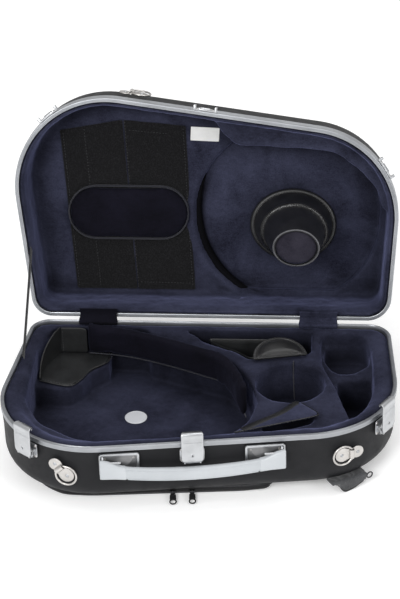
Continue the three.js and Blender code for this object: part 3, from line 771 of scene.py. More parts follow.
def build_rims():
    face = [(0, 1.5), (-0.12, 0.95), (-0.5, 0.55), (-1.0, 0.4)]
    face += groove(-2.3, 0.4, 1.1, 0.45) + groove(-4.3, 0.4, 0.9, 0.35)
    face += [(-5.6, 0.4), (-6.2, 0.65), (-6.5, 1.4)]
    base = side_groove(0, 5.4, 1.2, 0.35) + side_groove(0, 3.2, 0.9, 0.3) + face + [(-6.5, 8), (0, 8)]
    piece = loft("base_rim_metal", [ring(o, -z) for o, z in base], BASE, RIM, closed=True, sharp=30)
    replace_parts(piece, "base_rim")
    lid = side_groove(0, 20, 1.2, 0.35) + side_groove(0, 12.5, 5.0, 0.3) + side_groove(0, 5.0, 1.2, 0.35)
    lid += face + [(-6.5, 7), (-1.6, 7), (-1.6, 24), (-0.4, 24), (0, 23.5)]
    piece = loft("lid_rim_metal", [ring(o, z) for o, z in lid], LID, RIM, "lid", closed=True, sharp=30)
    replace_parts(piece, "lid_rim")


# ---------------------------------------------------------------- base lining

LINER_VOXEL = 0.0028
WELL_FLOOR = 92
FLAP = BASE @ shift(134, -89, -12) @ turn(11.5, "Z") @ turn(14, "X")
LEAF = BASE @ shift(68, -316, -4.4) @ turn(21.3, "Z") @ turn(-7, "X")
PAD_PATH = [(-186, 24), (-140, 30), (-102, 40), (-51, 60), (-1, 84), (40, 108), (66, 155), (80, 203)]
GUARD_FLOOR = [
    (-236, 22), (-150, 22), (-150, 48), (-177, 75), (-190, 104), (-208, 122), (-256, 108), (-256, 80),
]


def build_base_liner():
    # The base lining wears the darker copy of the plush: painted shade.
    liner = soft_copy("base_liner", "base_liner_plush", PLUSH_BASE_PAINTED_SHADE, "base", LINER_VOXEL, 9,
                      swell=0.0009, rough=0.0009, grain=38)


def build_pocket_linings():
    """Leather lines the small rear pocket, and a thin welt runs down the round pocket's rear wall."""
    mouth = rounded(drawn(LEATHER_NOOK), 10, 6)
    cx, cy = (sum(p[i] for p in mouth) / len(mouth) for i in (0, 1))
    rings = [[(cx + (x - cx) * f, cy + (y - cy) * f, z) for x, y in mouth] for f, z in
             ((1.02, -16.2), (1.0, -14.8), (0.975, -16), (0.96, -24), (0.95, -40), (0.93, -55), (0.88, -60.2),
              (0.75, -61.2), (0.5, -61.4), (0.02, -61.4))]
    loft("small_pocket_lining", rings, BASE, LEATHER_LINING, caps=False, sharp=60)
    cx, cv, radius = ROUND_POCKET
    x = 156
    v = cv - sqrt((radius - 1.6) ** 2 - (x - cx) ** 2)
    welt = [(x + 0.8 * sin(z * 0.05), -v, z) for z in range(-88, -11, 4)]
    tube("round_pocket_welt", welt, 0.8, BASE, PIPING)


def build_divider():
    # The pad wears the much darker copy of the plush: painted shade on its unlit face.
    pad = soft_copy("divider_pad", "divider_pad_plush", PLUSH_PAINTED_SHADE, "base", 0.004, 3,
                    swell=-0.0006, rough=0.0004, grain=70)
    puff(pad, pressure=4, cap=0.0025)
    line = [(x + 4, -v - 5.6, -46.4) for x, v in PAD_PATH]
    tube("divider_pad_piping", spline(line, 10), 0.9, BASE, PIPING)


def build_corner_guard():
    floor = rounded(drawn(GUARD_FLOOR), 16)
    piece = slab("corner_guard_floor", floor, -53.4, -50.4, 0.8, BASE, LEATHER_LINING, crown=0.8)
    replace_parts(piece, "corner_guard")
    back = rounded([(-231, -50), (-186, -50), (-186, -7), (-192, -3), (-229, -3)], 4)
    slab("corner_guard_back", back, 0, 2.2, 0.8, BASE @ shift(0, -21.2, 0) @ FACE, LEATHER_LINING, crown=1.0)
    path = spline([(-229.5, 23), (-236, 36), (-243, 52), (-249.5, 67), (-254, 84), (-255, 104)], 6)
    rings = []
    tops = []
    for i, p in enumerate(path):
        t = i / (len(path) - 1)
        top = -4 - 44 * t ** 2.2
        nxt, prv = path[min(i + 1, len(path) - 1)], path[max(i - 1, 0)]
        d = Vector((nxt[0] - prv[0], nxt[1] - prv[1])).normalized()
        nx, nv = d[1], -d[0]
        rings.append([
            (p[0], -p[1], -51), (p[0], -p[1], top), (p[0] - nx * 1.1, -(p[1] - nv * 1.1), top + 0.8),
            (p[0] - nx * 2.2, -(p[1] - nv * 2.2), top), (p[0] - nx * 2.2, -(p[1] - nv * 2.2), -51),
        ])
        tops.append((p[0] - nx * 1.1, -(p[1] - nv * 1.1), top + 0.6))
    loft("corner_guard_side", rings, BASE, LEATHER_LINING)
    tube("corner_guard_side_piping", tops, 1.1, BASE, LEATHER)
    front = [(x, -v, -50.6) for x, v in GUARD_FLOOR[1:7]]
    tube("corner_guard_front_piping", spline(front, 8), 1.2, BASE, LEATHER)
    stitches("corner_guard_seam", [(-226, -24.2, -47), (-226, -24.2, -6)], BASE, THREAD)
    stitches("corner_guard_stitches", [(p.x + 3, p.y + 3, -50.0) for p in spline(front, 8)], BASE, THREAD)


def build_badge():
    profile = [(17.2, 0.3), (18.0, 0.7), (18.0, 1.5), (17.3, 2.0), (16.2, 2.1), (15.8, 1.75), (4, 1.95),
               (0.5, 2.0)]
    rings = [[(x, y, z) for x, y in circle(r, 48)] for r, z in profile]
    piece = loft("base_badge_metal", rings, BASE @ shift(-97, -150, -WELL_FLOOR), LABEL_METAL)
    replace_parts(piece, "base_badge")


def build_pocket_flap():
    """A half-round leather flap with a pressed dome and a rolled bar along its straight edge."""
    arc = [polar(44, a) for a in range(0, 181, 6)]
    half = rounded(arc + [(-30, 0), (-10, 0), (10, 0), (30, 0)], 2, 1)
    steps = ((0.99, 0.0), (1.0, 0.7), (1.0, 2.3), (0.985, 3.0), (0.89, 3.1), (0.865, 2.2), (0.83, 2.3),
             (0.78, 3.6), (0.66, 5.6), (0.5, 7.0), (0.3, 7.8), (0.1, 8.0))
    rings = [[(x * f, 18 + (y - 18) * f, z) for x, y in half] for f, z in steps]
    piece = loft("pocket_flap_leather", rings, FLAP, LEATHER, "pocket_flap")
    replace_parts(piece, "pocket_flap")
    bar = [(x, 6.5 - (x / 60) ** 2 * 3, 3.6) for x in range(-33, 34, 6)]
    tube("pocket_flap_roll", bar, 1.7, FLAP, LEATHER_SHINE, "pocket_flap", sides=12)
    edge = [(x, y, 3.0) for x, y in inset(arc, 2.4)]
    stitches("pocket_flap_stitches", edge[1:-1], FLAP, THREAD, "pocket_flap", radius=0.3)


def build_retaining_flap():
    leaf = [(0, 0), (46, 19), (90, 36), (121, 58), (129, 55), (137, 30), (143, 9), (137, 0), (70, 0)]
    piece = slab("retaining_flap_plush", rounded(leaf, 7), 0.2, 3.0, 1.2, LEAF, PLUSH, "retaining_flap",
                 crown=0.9)
    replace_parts(piece, "retaining_flap")
    rear = spline([(16, 6.6, 3.2), (46, 18.5, 3.4), (90, 35, 3.4), (119, 55.5, 3.2), (128, 53, 3.0)], 10)
    binding = []
    for i, p in enumerate(rear):
        d = (rear[min(i + 1, len(rear) - 1)] - rear[max(i - 1, 0)]).normalized()
        side = Vector((-d.y, d.x, 0))
        binding.append([tuple(p + side * s + Vector((0, 0, z)))
                        for s, z in ((1.6, -2.8), (1.8, -0.6), (0.6, 0.6), (-9.5, 0.7), (-10.8, -0.1),
                                     (-10.0, -1.4))])
    loft("retaining_flap_binding", binding, LEAF, LEATHER, "retaining_flap", sharp=60)
    front = spline([(4, 0.4, 2.2), (70, -0.4, 2.4), (134, 0.2, 2.4), (142, 8, 2.4), (137, 28, 2.4),
                    (130, 50, 2.4)], 8)
    tube("retaining_flap_piping", front, 1.0, LEAF, LEATHER_SHINE, "retaining_flap")


# ---------------------------------------------------------------- lid lining


def build_lid_liner():
    liner = soft_copy("lid_liner", "lid_liner_plush", PLUSH, "lid", LINER_VOXEL, 9,
                      swell=0.0009, rough=0.0009, grain=34)
    back = LID.inverted()
    centre, radius = Vector(BELL_RECESS[:2]), BELL_RECESS[2]
    for vertex in liner.data.vertices:
        x, y, w = back @ vertex.co
        off = Vector((x, -y)) - centre
        if not 60 < w < 100:
            continue
        # The recess's edge is tucked in to the left and below, and its rim swells a little.
        side = degrees(atan2(off.y, off.x)) % 360
        reach = max(0.0, min(1.0, (side - 150) / 15, (262 - side) / 15))
        d = off.length - radius
        push = 8 * exp(-((d + 5) / 5.5) ** 2) - 3.0 * exp(-((d - 9) / 8) ** 2)
        # Loose folds run along the roll over the recess.
        folds = 0.0
        if off.y > 55 and x > 60 and d > -40:
            folds = 2.6 * sin(x * 0.11 + 2.2 * noise.noise(Vector((x * 0.02, 0, 3))))
            fade = min(1.0, (off.y - 55) / 30, (x - 60) / 30)
            folds *= fade * noise.noise(Vector((x * 0.03, y * 0.03, 7))) * 1.6
        vertex.co += LID.to_3x3() @ Vector((0, 0, push * reach + folds))
    # Painted shadow: a near-black strip lies in the gap where the recess's floor is tucked under its edge.
    cx, cv, radius = BELL_RECESS
    rings = []
    for k in range(37):
        t = k / 36
        a = radians(152 + 106 * t)
        width = 0.4 + 8.5 * sin(pi * t) ** 0.7
        rings.append([(cx + (radius + o) * cos(a), -cv - (radius + o) * sin(a), w) for o, w in
                      ((1.5, 82.5), (1.8, 90), (-width, 92.5), (-width - 0.8, 91.2), (-width * 0.5, 87.5))])
    loft("lid_recess_painted_shadow", rings, LID, CREASE_PAINTED_SHADOW, "lid", sharp=180)


def build_loop_panels():
    floor = LID_FLOOR - 0.3
    left = [(-236, 296), (-133, 314), (-111, 26), (-211, 26)]
    right = [(-131, 314), (-29, 305), (-14, 26), (-109, 26)]
    for side, corners in (("left", left), ("right", right)):
        dense = divided(rounded(drawn(corners), 3, 3), 8)
        name = "loop_panel_" + side
        piece = slab(name + "_pile", dense, floor - 2.0, floor, 0.8, LID, LOOP, "lid")
        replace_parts(piece, name)
    top = floor - 2.1
    rows = {
        "loop_seam_middle": [(-129, -311, top), (-108.5, -29, top)],
        "loop_seam_top": [(-122, -297, top), (-60, -292, top)],
        "loop_seam_bottom": [(-105, -38, top), (-22, -37, top)],
        "loop_seam_left": [(-231, -292, top), (-208, -30, top)],
        "loop_seam_right": [(-33, -301, top), (-18, -30, top)],
        "loop_seam_third": [(-196, -298, top), (-172, -30, top)],
    }
    for name, line in rows.items():
        stitches(name, line, LID, THREAD_DARK, "lid", radius=0.32)


def stadium(x0, x1, v, radius, steps=14):
    left = [polar(radius, 90 + 180 * k / steps, x0, v) for k in range(steps + 1)]
    right = [polar(radius, 270 + 180 * k / steps, x1, v) for k in range(steps + 1)]
    return left + right


def build_oval_pad():
    # The pad wears the much darker copy of the plush: painted shade.
    pad = soft_copy("oval_pad", "oval_pad_plush", PLUSH_PAINTED_SHADE, "lid", 0.004, 4, swell=-0.0005,
                    rough=0.0003, grain=60)
    puff(pad, pressure=4, cap=0.003)
    loop = [(x, -v, LID_FLOOR - 9.0) for x, v in stadium(-178, -69, 159, 44.6)]
    tube("oval_pad_piping", loop, 1.1, LID, PIPING, "lid", closed=True)
    loop = [(x, -v, LID_FLOOR - 3.0) for x, v in stadium(-178, -69, 159, 44.8)]
    tube("oval_pad_foot_piping", loop, 0.9, LID, PIPING, "lid", closed=True)


def build_label():
    dense = divided(rounded(drawn([(-21, 281), (26, 279), (27, 302), (-20, 304)]), 1.2, 3), 5)
    piece = slab("lid_label_cloth", dense, LID_FLOOR - 1.6, LID_FLOOR - 0.4, 0.5, LID, LABEL, "lid")
    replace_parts(piece, "lid_label")
    edge = [(x, y, LID_FLOOR - 1.75) for x, y in inset(dense, 1.8)]
    stitches("lid_label_stitches", edge + edge[:1], LID, LABEL, "lid", length=2.0, gap=1.2, radius=0.22)


# ---------------------------------------------------------------- bell cone


def cone_ring(radius, h, sides=64):
    """One ring of the cone: oval at the root, round at the mouth, which leans towards the hinge."""
    t = (CONE_ROOT_H - h) / (CONE_ROOT_H - CONE_TIP_H)
    cx = CONE_ROOT[0] + (CONE_TIP[0] - CONE_ROOT[0]) * t
    cv = CONE_ROOT[1] + (CONE_TIP[1] - CONE_ROOT[1]) * t
    squash = CONE_ROOT_SQUASH + (1 - CONE_ROOT_SQUASH) * t
    lean = CONE_TIP_LEAN * max(0.0, t)
    return [(cx + x, y * squash * cos(lean) - cv, h + y * squash * sin(lean))
            for x, y in circle(radius, sides)]


def cone(name, profile, mat, closed=False, sharp=50):
    return loft(name, [cone_ring(r, h) for r, h in profile], LID, mat, "lid", closed=closed, sharp=sharp)


def bead(radius, h, thickness, sides=12):
    """The section of a round bead that runs round the cone."""
    turns = (2 * pi * k / sides for k in range(sides))
    return [(radius + thickness * cos(a), h + thickness * sin(a)) for a in turns]


def build_cone():
    foot = RECESS_FLOOR - 0.3
    flange = [(66, foot), (69.5, foot), (71.2, foot - 1.2), (71.5, 88.5), (70.8, 86.2), (69.4, 84.6),
              (67, 84.0), (62, 84.2)]
    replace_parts(cone("cone_flange_leather", flange, LEATHER), "cone_flange")
    skirt = [(60, 84.2), (65, 83.8), (64.8, 81), (63, 73), (61, 66), (58.8, 57), (56.4, 47), (55.6, 44.6),
             (56.3, 43.2), (56.5, 41.4), (55.8, 39.6), (54.4, 38.4), (51.8, 38.0), (49, 38.2), (46.5, 40)]
    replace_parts(cone("cone_skirt_leather", skirt, LEATHER), "cone_skirt")
    step = [(50.6, 37.0), (53.2, 37.3), (54.7, 38.3), (55.5, 40.2), (55.8, 41.4), (54.6, 40.2), (52.6, 38.4),
            (50.0, 37.6)]
    cone("cone_step", step, LEATHER_SHINE, closed=True)
    seam = [tuple(p) for p in cone_ring(52.2, 36.9, 96)]
    stitches("cone_stitches", seam + seam[:1], LID, PIPING, "lid", length=2.4, gap=1.6,
             radius=0.3)
    nose = [(46.5, 39), (50.2, 37.7), (50.6, 36), (50.0, 30), (48.8, 20), (46.4, 2), (44.0, -15), (41.2, -34),
            (38.8, -50), (37.6, -58), (37.2, -62), (36.2, -64.6), (33.6, -64.4), (33.0, -60.4)]
    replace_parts(cone("cone_nose_leather", nose, LEATHER_SMOOTH), "cone_nose")
    cone("cone_mouth_bead", bead(36.2, -63.2, 1.7), BEAD, closed=True, sharp=180)
    cap = [(32.9, -59.6), (32.6, -61.0), (30, -61.6), (23, -62.2), (13, -62.6), (5, -62.8)]
    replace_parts(cone("cone_cap_cloth", cap, CAP_CLOTH), "cone_cap")
    cone("cone_root_piping", bead(65.6, 83.4, 1.0, 10), LEATHER_SHINE, closed=True, sharp=180)


# ---------------------------------------------------------------- screws and rings


def screw_mesh(matrix, radius, height, verts, faces):
    """A domed cross-head screw: its head looks along -Y of the matrix."""
    first = len(verts)
    sides, rows = 24, 5
    for i in range(rows + 1):
        r = radius * (1 - i / rows)
        for k in range(sides):
            a = 2 * pi * k / sides
            x, z = r * cos(a), r * sin(a)
            rise = height * (1 - (r / radius) ** 2) ** 0.5 if i else 0.0
            if 0 < i and r < radius * 0.65 and min(abs(x), abs(z)) < radius * 0.16:
                rise -= height * 0.65
            verts.append(tuple(matrix @ Vector((x, -rise, z))))
    for i in range(rows):
        for k in range(sides):
            a, b = first + i * sides + k, first + i * sides + (k + 1) % sides
            faces.append((a, b, b + sides, a + sides))
    faces.append(tuple(first + k for k in range(sides)))


def screws(name, spots, radius, height, mat, body="base"):
    verts, faces = [], []
    for spot in spots:
        screw_mesh(spot, radius, height, verts, faces)
    return make(name, verts, faces, Matrix.Identity(4), mat, body, sharp=50)


STRAP_LOBE = -24


def build_strap_ring(matrix, name, body):
    """A two-lobed plate with a raised bridge, two screws and a captive D-shaped ring."""
    shape = [polar(12.5, -128 + 256 * k / 24) for k in range(25)]
    shape += [polar(10.8, 50 + 260 * k / 20, STRAP_LOBE) for k in range(21)]
    piece = slab(f"strap_plate_{name}_metal", shape, 1.4, 3.4, 0.7, matrix @ FACE, NICKEL, body)
    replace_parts(piece, f"strap_plate_{name}")
    arch = [(-1.6, -19.5), (-3.2, -19.0), (-6.0, -17.8), (-7.6, -16.2), (-8.0, -14.5), (-7.6, -12.8),
            (-6.0, -11.2), (-3.2, -10.2), (-1.6, -9.8)]
    path = [(y, -x) for y, x in arch]
    strip(f"strap_bridge_{name}", path, [8.0] * len(path), 1.0, matrix @ turn(-90, "Y"), NICKEL, body,
          corner=0.4)
    sides = [(-14.5, z) for z in (9, 5, 1, -3, -7)]
    wire = [polar(16.5, a) for a in range(-140, 141, 10)] + sides
    loop = spline([(x, -4.6, z) for x, z in wire], 3, closed=True)
    ring_piece = tube(f"strap_ring_{name}_wire", loop, 1.6, matrix, NICKEL, "strap_ring_" + name,
                      sides=12, closed=True)
    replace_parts(ring_piece, f"strap_ring_{name}")
    screws(f"strap_screws_{name}", [matrix @ shift(2, -3.3, 0), matrix @ shift(-25, -3.3, 0)], 3.1, 1.3,
           STEEL, body)


def build_strap_rings():
    build_strap_ring(wall(BASE, corner_spot(FRONT_LEFT, 102.3), -51) @ turn(45, "Y"), "left", "base")
    build_strap_ring(wall(BASE, corner_spot(FRONT_RIGHT, 64), -44.5) @ turn(180, "Y"), "right", "base")
    build_strap_ring(wall(LID, front_spot(-100), 48), "lid", "lid")


# ---------------------------------------------------------------- latches

LATCHES = {
    "left": corner_spot(FRONT_LEFT, 128), "centre": front_spot(8), "right": corner_spot(FRONT_RIGHT, 33),
}


def build_latches():
    for side, spot in LATCHES.items():
        build_latch(side, spot)


def build_latch(side, spot):
    """A spring latch on the base, and its catch on the lid."""
    matrix = wall(BASE, spot)
    lever_body = "latch_" + side
    path = [(-4.2, 17.4), (-4.0, 19.0), (-4.1, 21.0), (-5.0, 22.5), (-7.0, 22.9), (-9.5, 23.0),
            (-11.6, 22.6), (-12.7, 21.4),
            (-12.9, 19.5), (-12.9, 14), (-12.9, 9.2), (-12.6, 8.2), (-12.6, 7.6), (-12.9, 6.6), (-13.0, 0),
            (-13.0, -8),
            (-12.9, -16), (-12.8, -21), (-12.7, -24), (-12.5, -26.4), (-12.3, -28), (-12.0, -29)]
    widths = [13.4, 13.6, 13.8, 14.6, 15.6, 16.4, 16.9, 17, 17, 17, 17, 16.8, 16.8, 17, 17, 17, 17, 16.9,
              16.2, 14.8, 12.9, 10.4]
    plate = strip(f"latch_{side}_plate", path, widths, 2.2, matrix, STEEL, lever_body, corner=0.9)
    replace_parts(plate, f"latch_{side}_lever")
    lug = [(-13.0, -31.2), (-6.6, -31.4), (-4.6, -29.6), (-4.3, -27), (-4.6, -24.4), (-6.6, -22.6),
           (-13.0, -22.2)]
    for tag, x in (("a", -12), ("b", 12)):
        shape = rounded(lug, 1.5, 3)
        slab(f"latch_{side}_lug_{tag}", shape, x - 1.1, x + 1.1, 0.3, matrix @ EDGE, STEEL, lever_body)
    # The keyhole: a raised collar round a dark slot, a thin dark plate that stands in for the hole: painted
    # shade.
    collar = [[(x, y, z) for x, y in circle(r, 24)] for r, z in
              ((3.3, 13.9), (3.3, 14.3), (3.0, 14.6), (2.3, 14.6), (2.0, 14.2), (2.0, 13.8))]
    loft(f"latch_{side}_collar", collar, matrix @ FACE @ shift(0, -16, 0), STEEL, lever_body, closed=True)
    keyhole = [polar(1.3, a, 0, 0.6) for a in range(-60, 241, 20)] + [(-0.6, -1.9), (0.6, -1.9)]
    slab(f"latch_{side}_keyhole", keyhole, 13.7, 14.15, 0.1, matrix @ FACE @ shift(0, -16, 0), DARK_METAL_AND_SHADE,
         lever_body)
    # Embossed rows on the lower half of the plate.
    verts, faces = [], []
    for row in range(11):
        for column in range(-6, 7):
            x = column * 2.2 + (1.1 if row % 2 else 0)
            z = 14.5 - row * 2.3
            first = len(verts)
            for dx, dz, dy in ((-0.75, 0, 0), (0, -0.75, 0), (0.75, 0, 0), (0, 0.75, 0), (0, 0, -0.35)):
                verts.append((x + dx, -14.05 + dy, z + dz))
            faces += [(first, first + 1, first + 4), (first + 1, first + 2, first + 4),
                      (first + 2, first + 3, first + 4), (first + 3, first, first + 4),
                      (first + 3, first + 2, first + 1, first)]
    make(f"latch_{side}_emboss", verts, faces, matrix, STEEL, lever_body, sharp=10)
    frame_shape = rounded([(-19, -34), (19, -34), (19, -9), (-19, -9)], 5, 4)
    piece = slab(f"latch_{side}_bracket_plate", frame_shape, 0.3, 1.9, 0.5, matrix @ FACE, STEEL)
    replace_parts(piece, f"latch_{side}_bracket")
    ear = rounded([(-1.5, -33), (-9.5, -30.4), (-11.2, -27), (-9.5, -23.6), (-5, -19), (-1.5, -17)], 2.2, 3)
    for tag, x in (("a", -14.5), ("b", 14.5)):
        slab(f"latch_{side}_ear_{tag}", ear, x - 1.0, x + 1.0, 0.3, matrix @ EDGE, STEEL)
    refine(f"latch_{side}_pin", "base", 0.3)
    refine(f"catch_{side}", "lid", 0.5)
    screws(f"latch_{side}_screws", [matrix @ shift(x, -1.85, z) for x in (-16, 16) for z in (-12.5, -31)],
           1.9, 1.0, NICKEL)
    coil = []
    for k in range(0, 8 * 14 + 1):
        a = 2 * pi * k / 14
        coil.append((-7.5 + k * 15 / (8 * 14), -8 + 3.0 * cos(a), -27 + 3.0 * sin(a)))
    coil = [(-9, -2.4, -20), (-8.6, -5.0, -23)] + coil + [(8.6, -10.4, -22), (9, -11.4, -18)]
    tube(f"latch_{side}_spring", coil, 0.45, matrix, STEEL, sides=6)
    lid_side = wall(LID, spot)
    wings = rounded([(-16, 3.4), (16, 3.4), (17, 6.2), (13.5, 9.8), (10, 9.6), (9.0, 14.6), (-9.0, 14.6),
                     (-10, 9.6), (-13.5, 9.8), (-17, 6.2)], 1.4, 3)
    slab(f"catch_{side}_wings", wings, 0.4, 2.3, 0.5, lid_side @ FACE, STEEL, "lid")
    for way in (-1, 1):
        wing = rounded([(-0.3, 3), (-7.2, 3.2), (-8, 5.5), (-7, 9.5), (-3, 11), (-0.3, 11)], 1.4, 3)
        slab(f"catch_{side}_wing_{'a' if way < 0 else 'b'}", wing, way * 17.1 - 1.7, way * 17.1 + 1.7, 0.6,
             lid_side @ EDGE, STEEL, "lid")
    hook = [(-2.2, 13.4), (-3.6, 12.6), (-4.0, 11.0), (-3.6, 9.4), (-2.2, 8.6)]
    strip(f"catch_{side}_hook", hook, [7.6] * 5, 1.1, lid_side, STEEL, "lid", corner=0.45)
    screws(f"catch_{side}_screws", [lid_side @ shift(x, -2.2, 6.6) for x in (-12.6, 12.6)], 2.0, 0.9,
           NICKEL, "lid")


# ---------------------------------------------------------------- handle

HANDLE = wall(BASE, front_spot(8))
HANDLE_Y = -14
HANDLE_Z = -20
GRIP_END = 113.5
GRIP_HALF_DEPTH = 6.0
GRIP_HALF_HEIGHT = 10.4
BRACKET_LENGTH = 62


def grip_section(x, y, z, half_depth, half_height, power=2.6, sides=28):
    """A rounded, slightly square section in the Y-Z plane."""
    points = []
    for k in range(sides):
        a = 2 * pi * k / sides
        c, s = cos(a), sin(a)
        points.append((x, y + half_depth * copysign(abs(c) ** (2 / power), c),
                       z + half_height * copysign(abs(s) ** (2 / power), s)))
    return points


def grip_line(x):
    """Height of the grip's middle line: it sags between its ends."""
    return HANDLE_Z - 18 - 9 * (1 - (x / (GRIP_END + 0.2)) ** 2)


def build_handle():
    steps = 44
    rings = []
    for k in range(steps + 1):
        t = -1 + 2 * k / steps
        x = GRIP_END * t
        swell = 1 + 0.08 * (1 - t * t)
        middle = grip_line(x)
        section = grip_section(x, HANDLE_Y, middle, GRIP_HALF_DEPTH * swell, GRIP_HALF_HEIGHT * swell)
        # The ends are round: the middle of each end reaches further than its corners.
        pull = copysign(7.5, x) * max(0.0, (abs(t) - 0.8) / 0.2)
        rings.append([(px - pull * ((pz - middle) / GRIP_HALF_HEIGHT) ** 2, py, pz) for px, py,
                      pz in section])
    piece = loft("handle_grip_moulding", rings, HANDLE, GRIP, "handle", sharp=60)
    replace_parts(piece, "handle_grip")
    for side, z_off in (("upper", 7.6), ("lower", -8.2)):
        line = [(x, HANDLE_Y - 4.9, grip_line(x) + z_off) for x in range(-100, 101, 4)]
        tube(f"handle_{side}_bead", line, 0.9, HANDLE, GRIP, "handle", sides=8)
    for side, way in (("left", -1), ("right", 1)):
        # The end piece narrows from the bracket's bar to the grip, and laps over the grip in an arc.
        ends = []
        for x, z, half_height, half_depth in (
            (142.6, -31.4, 15.4, 3.8), (141.8, -31.4, 16.6, 4.8), (138, -31.6, 16.8, 5.2),
            (130, -32.8, 15.8, 5.5),
            (122, -34.6, 14.2, 5.7), (115, -36.6, 12.6, 6.0), (109, -38.2, 11.6, 6.3),
            (103, -39.2, 11.2, 6.3), (102.4, -39.3, 10.4, 5.4),
        ):
            ends.append(grip_section(way * x, HANDLE_Y, z, half_depth, half_height, 3.4, 32))
        piece = loft(f"handle_end_{side}_metal", ends, HANDLE, HANDLE_METAL, "handle", sharp=40)
        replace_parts(piece, f"handle_end_{side}")
        low = -143 if way < 0 else 81
        high = low + BRACKET_LENGTH
        outer = rounded([(low, -50), (high, -50), (high, -11), (low, -11)], 4, 4)
        rings = []
        for d, y in ((0.0, 0.3), (0.0, 3.4), (0.3, 4.1), (1.2, 4.5), (3.0, 4.5), (3.9, 4.1), (4.3, 3.2),
                     (5.0, 1.9), (9, 1.7)):
            rings.append([(x, z, y) for x, z in inset(outer, d)])
        piece = loft(f"handle_bracket_{side}_frame", rings, HANDLE @ FACE, STEEL, sharp=40)
        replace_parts(piece, f"handle_bracket_{side}")
        # Folded facets in the recess, rising to the bar that the handle turns on.
        inner, outer_x = (high - 5, low + 5) if way < 0 else (low + 5, high - 5)
        peak = (inner + (outer_x - inner) * 0.28, -5.6, -33)
        facet = [(inner, -1.9, -16), (inner, -1.9, -45), (outer_x, -1.9, -45), (outer_x, -1.9, -16), peak]
        make(f"handle_facets_{side}", facet, [(0, 1, 4), (1, 2, 4), (2, 3, 4), (3, 0, 4), (3, 2, 1, 0)],
             HANDLE, STEEL_DULL, sharp=5)
        bar = [(way * 110, HANDLE_Y, HANDLE_Z), (way * 139, HANDLE_Y, HANDLE_Z)]
        tube(f"handle_bar_{side}", bar, 1.8, HANDLE, STEEL, sides=16)
        ear = rounded([(-17, -24), (-10, -24), (-1.6, -27), (-1.6, -13), (-10, -16), (-17, -16)], 2.5, 3)
        slab(f"handle_ear_{side}", ear, way * 137.5 - 1.4, way * 137.5 + 1.4, 0.3, HANDLE @ EDGE, STEEL)
        screws(f"handle_screws_{side}", [HANDLE @ shift(x, -2.0, z) for x, z in
                                         ((low + 9, -20), (high - 9, -20))], 2.2, 1.1, NICKEL)


# ---------------------------------------------------------------- hinges, covers, strap


HINGES = {"left": -168, "right": 193}


def build_hinges():
    for side, x in HINGES.items():
        refine(f"hinge_{side}_base_leaf", "base", 0.3)
        refine(f"hinge_{side}_lid_leaf", "lid", 0.3)
        spots = [BASE @ shift(x + dx, 1.5, -11) @ turn(180, "Z") for dx in (-20, 0, 20)]
        screws(f"hinge_{side}_base_screws", spots, 2.6, 1.0, NICKEL)
        spots = [LID @ shift(x + dx, 1.5, 11) @ turn(180, "Z") for dx in (-20, 0, 20)]
        screws(f"hinge_{side}_lid_screws", spots, 2.6, 1.0, NICKEL, "lid")
        guide = [(-11, -3), (-9.5, 1.2), (-4, 4.2), (0.4, 8), (2.6, 13.5), (3.2, 19)]
        path = [(p.x, p.y) for p in spline([(y, z, 0) for y, z in guide], 10)]
        ribs = 3 if side == "right" else 1
        wavy = []
        for i, (y, z) in enumerate(path):
            t = i / (len(path) - 1)
            push = 0.9 * abs(sin(pi * ribs * t)) ** 0.6
            wavy.append((y - push * 0.8, z + push * 0.5))
        widths = [31 + 0.8 * sin(7 * i / len(wavy)) for i in range(len(wavy))]
        # The left cover wears the much darker copy of the plush and the right cover the lit one: painted
        # shade.
        mat = PLUSH if side == "right" else PLUSH_PAINTED_SHADE
        cover = strip(f"hinge_cover_{side}_plush", wavy, widths, 2.2, BASE, mat, None, x=x, corner=1.0)
        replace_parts(cover, f"hinge_cover_{side}")
        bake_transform(cover)


def build_stay_strap():
    """A flat webbing strap that sags a little. Its width lies in the plane of the case's left side."""
    low, high = Vector((-277, -125, 6)), Vector((-277, 31, 115))
    along = high - low
    across = Vector((0, -along.z, along.y)).normalized()
    half, thick = 9.0, 0.8
    edge = [(half, thick), (0, thick * 1.1), (-half, thick), (-half - 0.5, 0)]
    section = edge + [(-s, -d) for s, d in edge]
    rings = []
    steps = 60
    for k in range(steps + 1):
        t = k / steps
        centre = low + along * t
        centre.z -= 1.5 * sin(pi * t)
        rings.append([tuple(centre + across * s + Vector((d, 0, 0))) for s, d in section])
    strap = loft("stay_strap_webbing", rings, BASE, WEBBING, None, sharp=70)
    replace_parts(strap, "stay_strap")
    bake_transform(strap)


# ---------------------------------------------------------------- outer pocket and pouch

POCKET = [
    (-218, 28), (-246, 200), (-244, 280), (-212, 316), (-168, 328), (100, 304.5), (132, 285), (138, 28),
]
ZIP_ANGLE = atan2(23.5, 268)


def pocket_ring(distance, z):
    shape = divided(rounded(drawn(POCKET), 30, 8), 9)
    return [(x, y, z) for x, y in inset(shape, distance)]


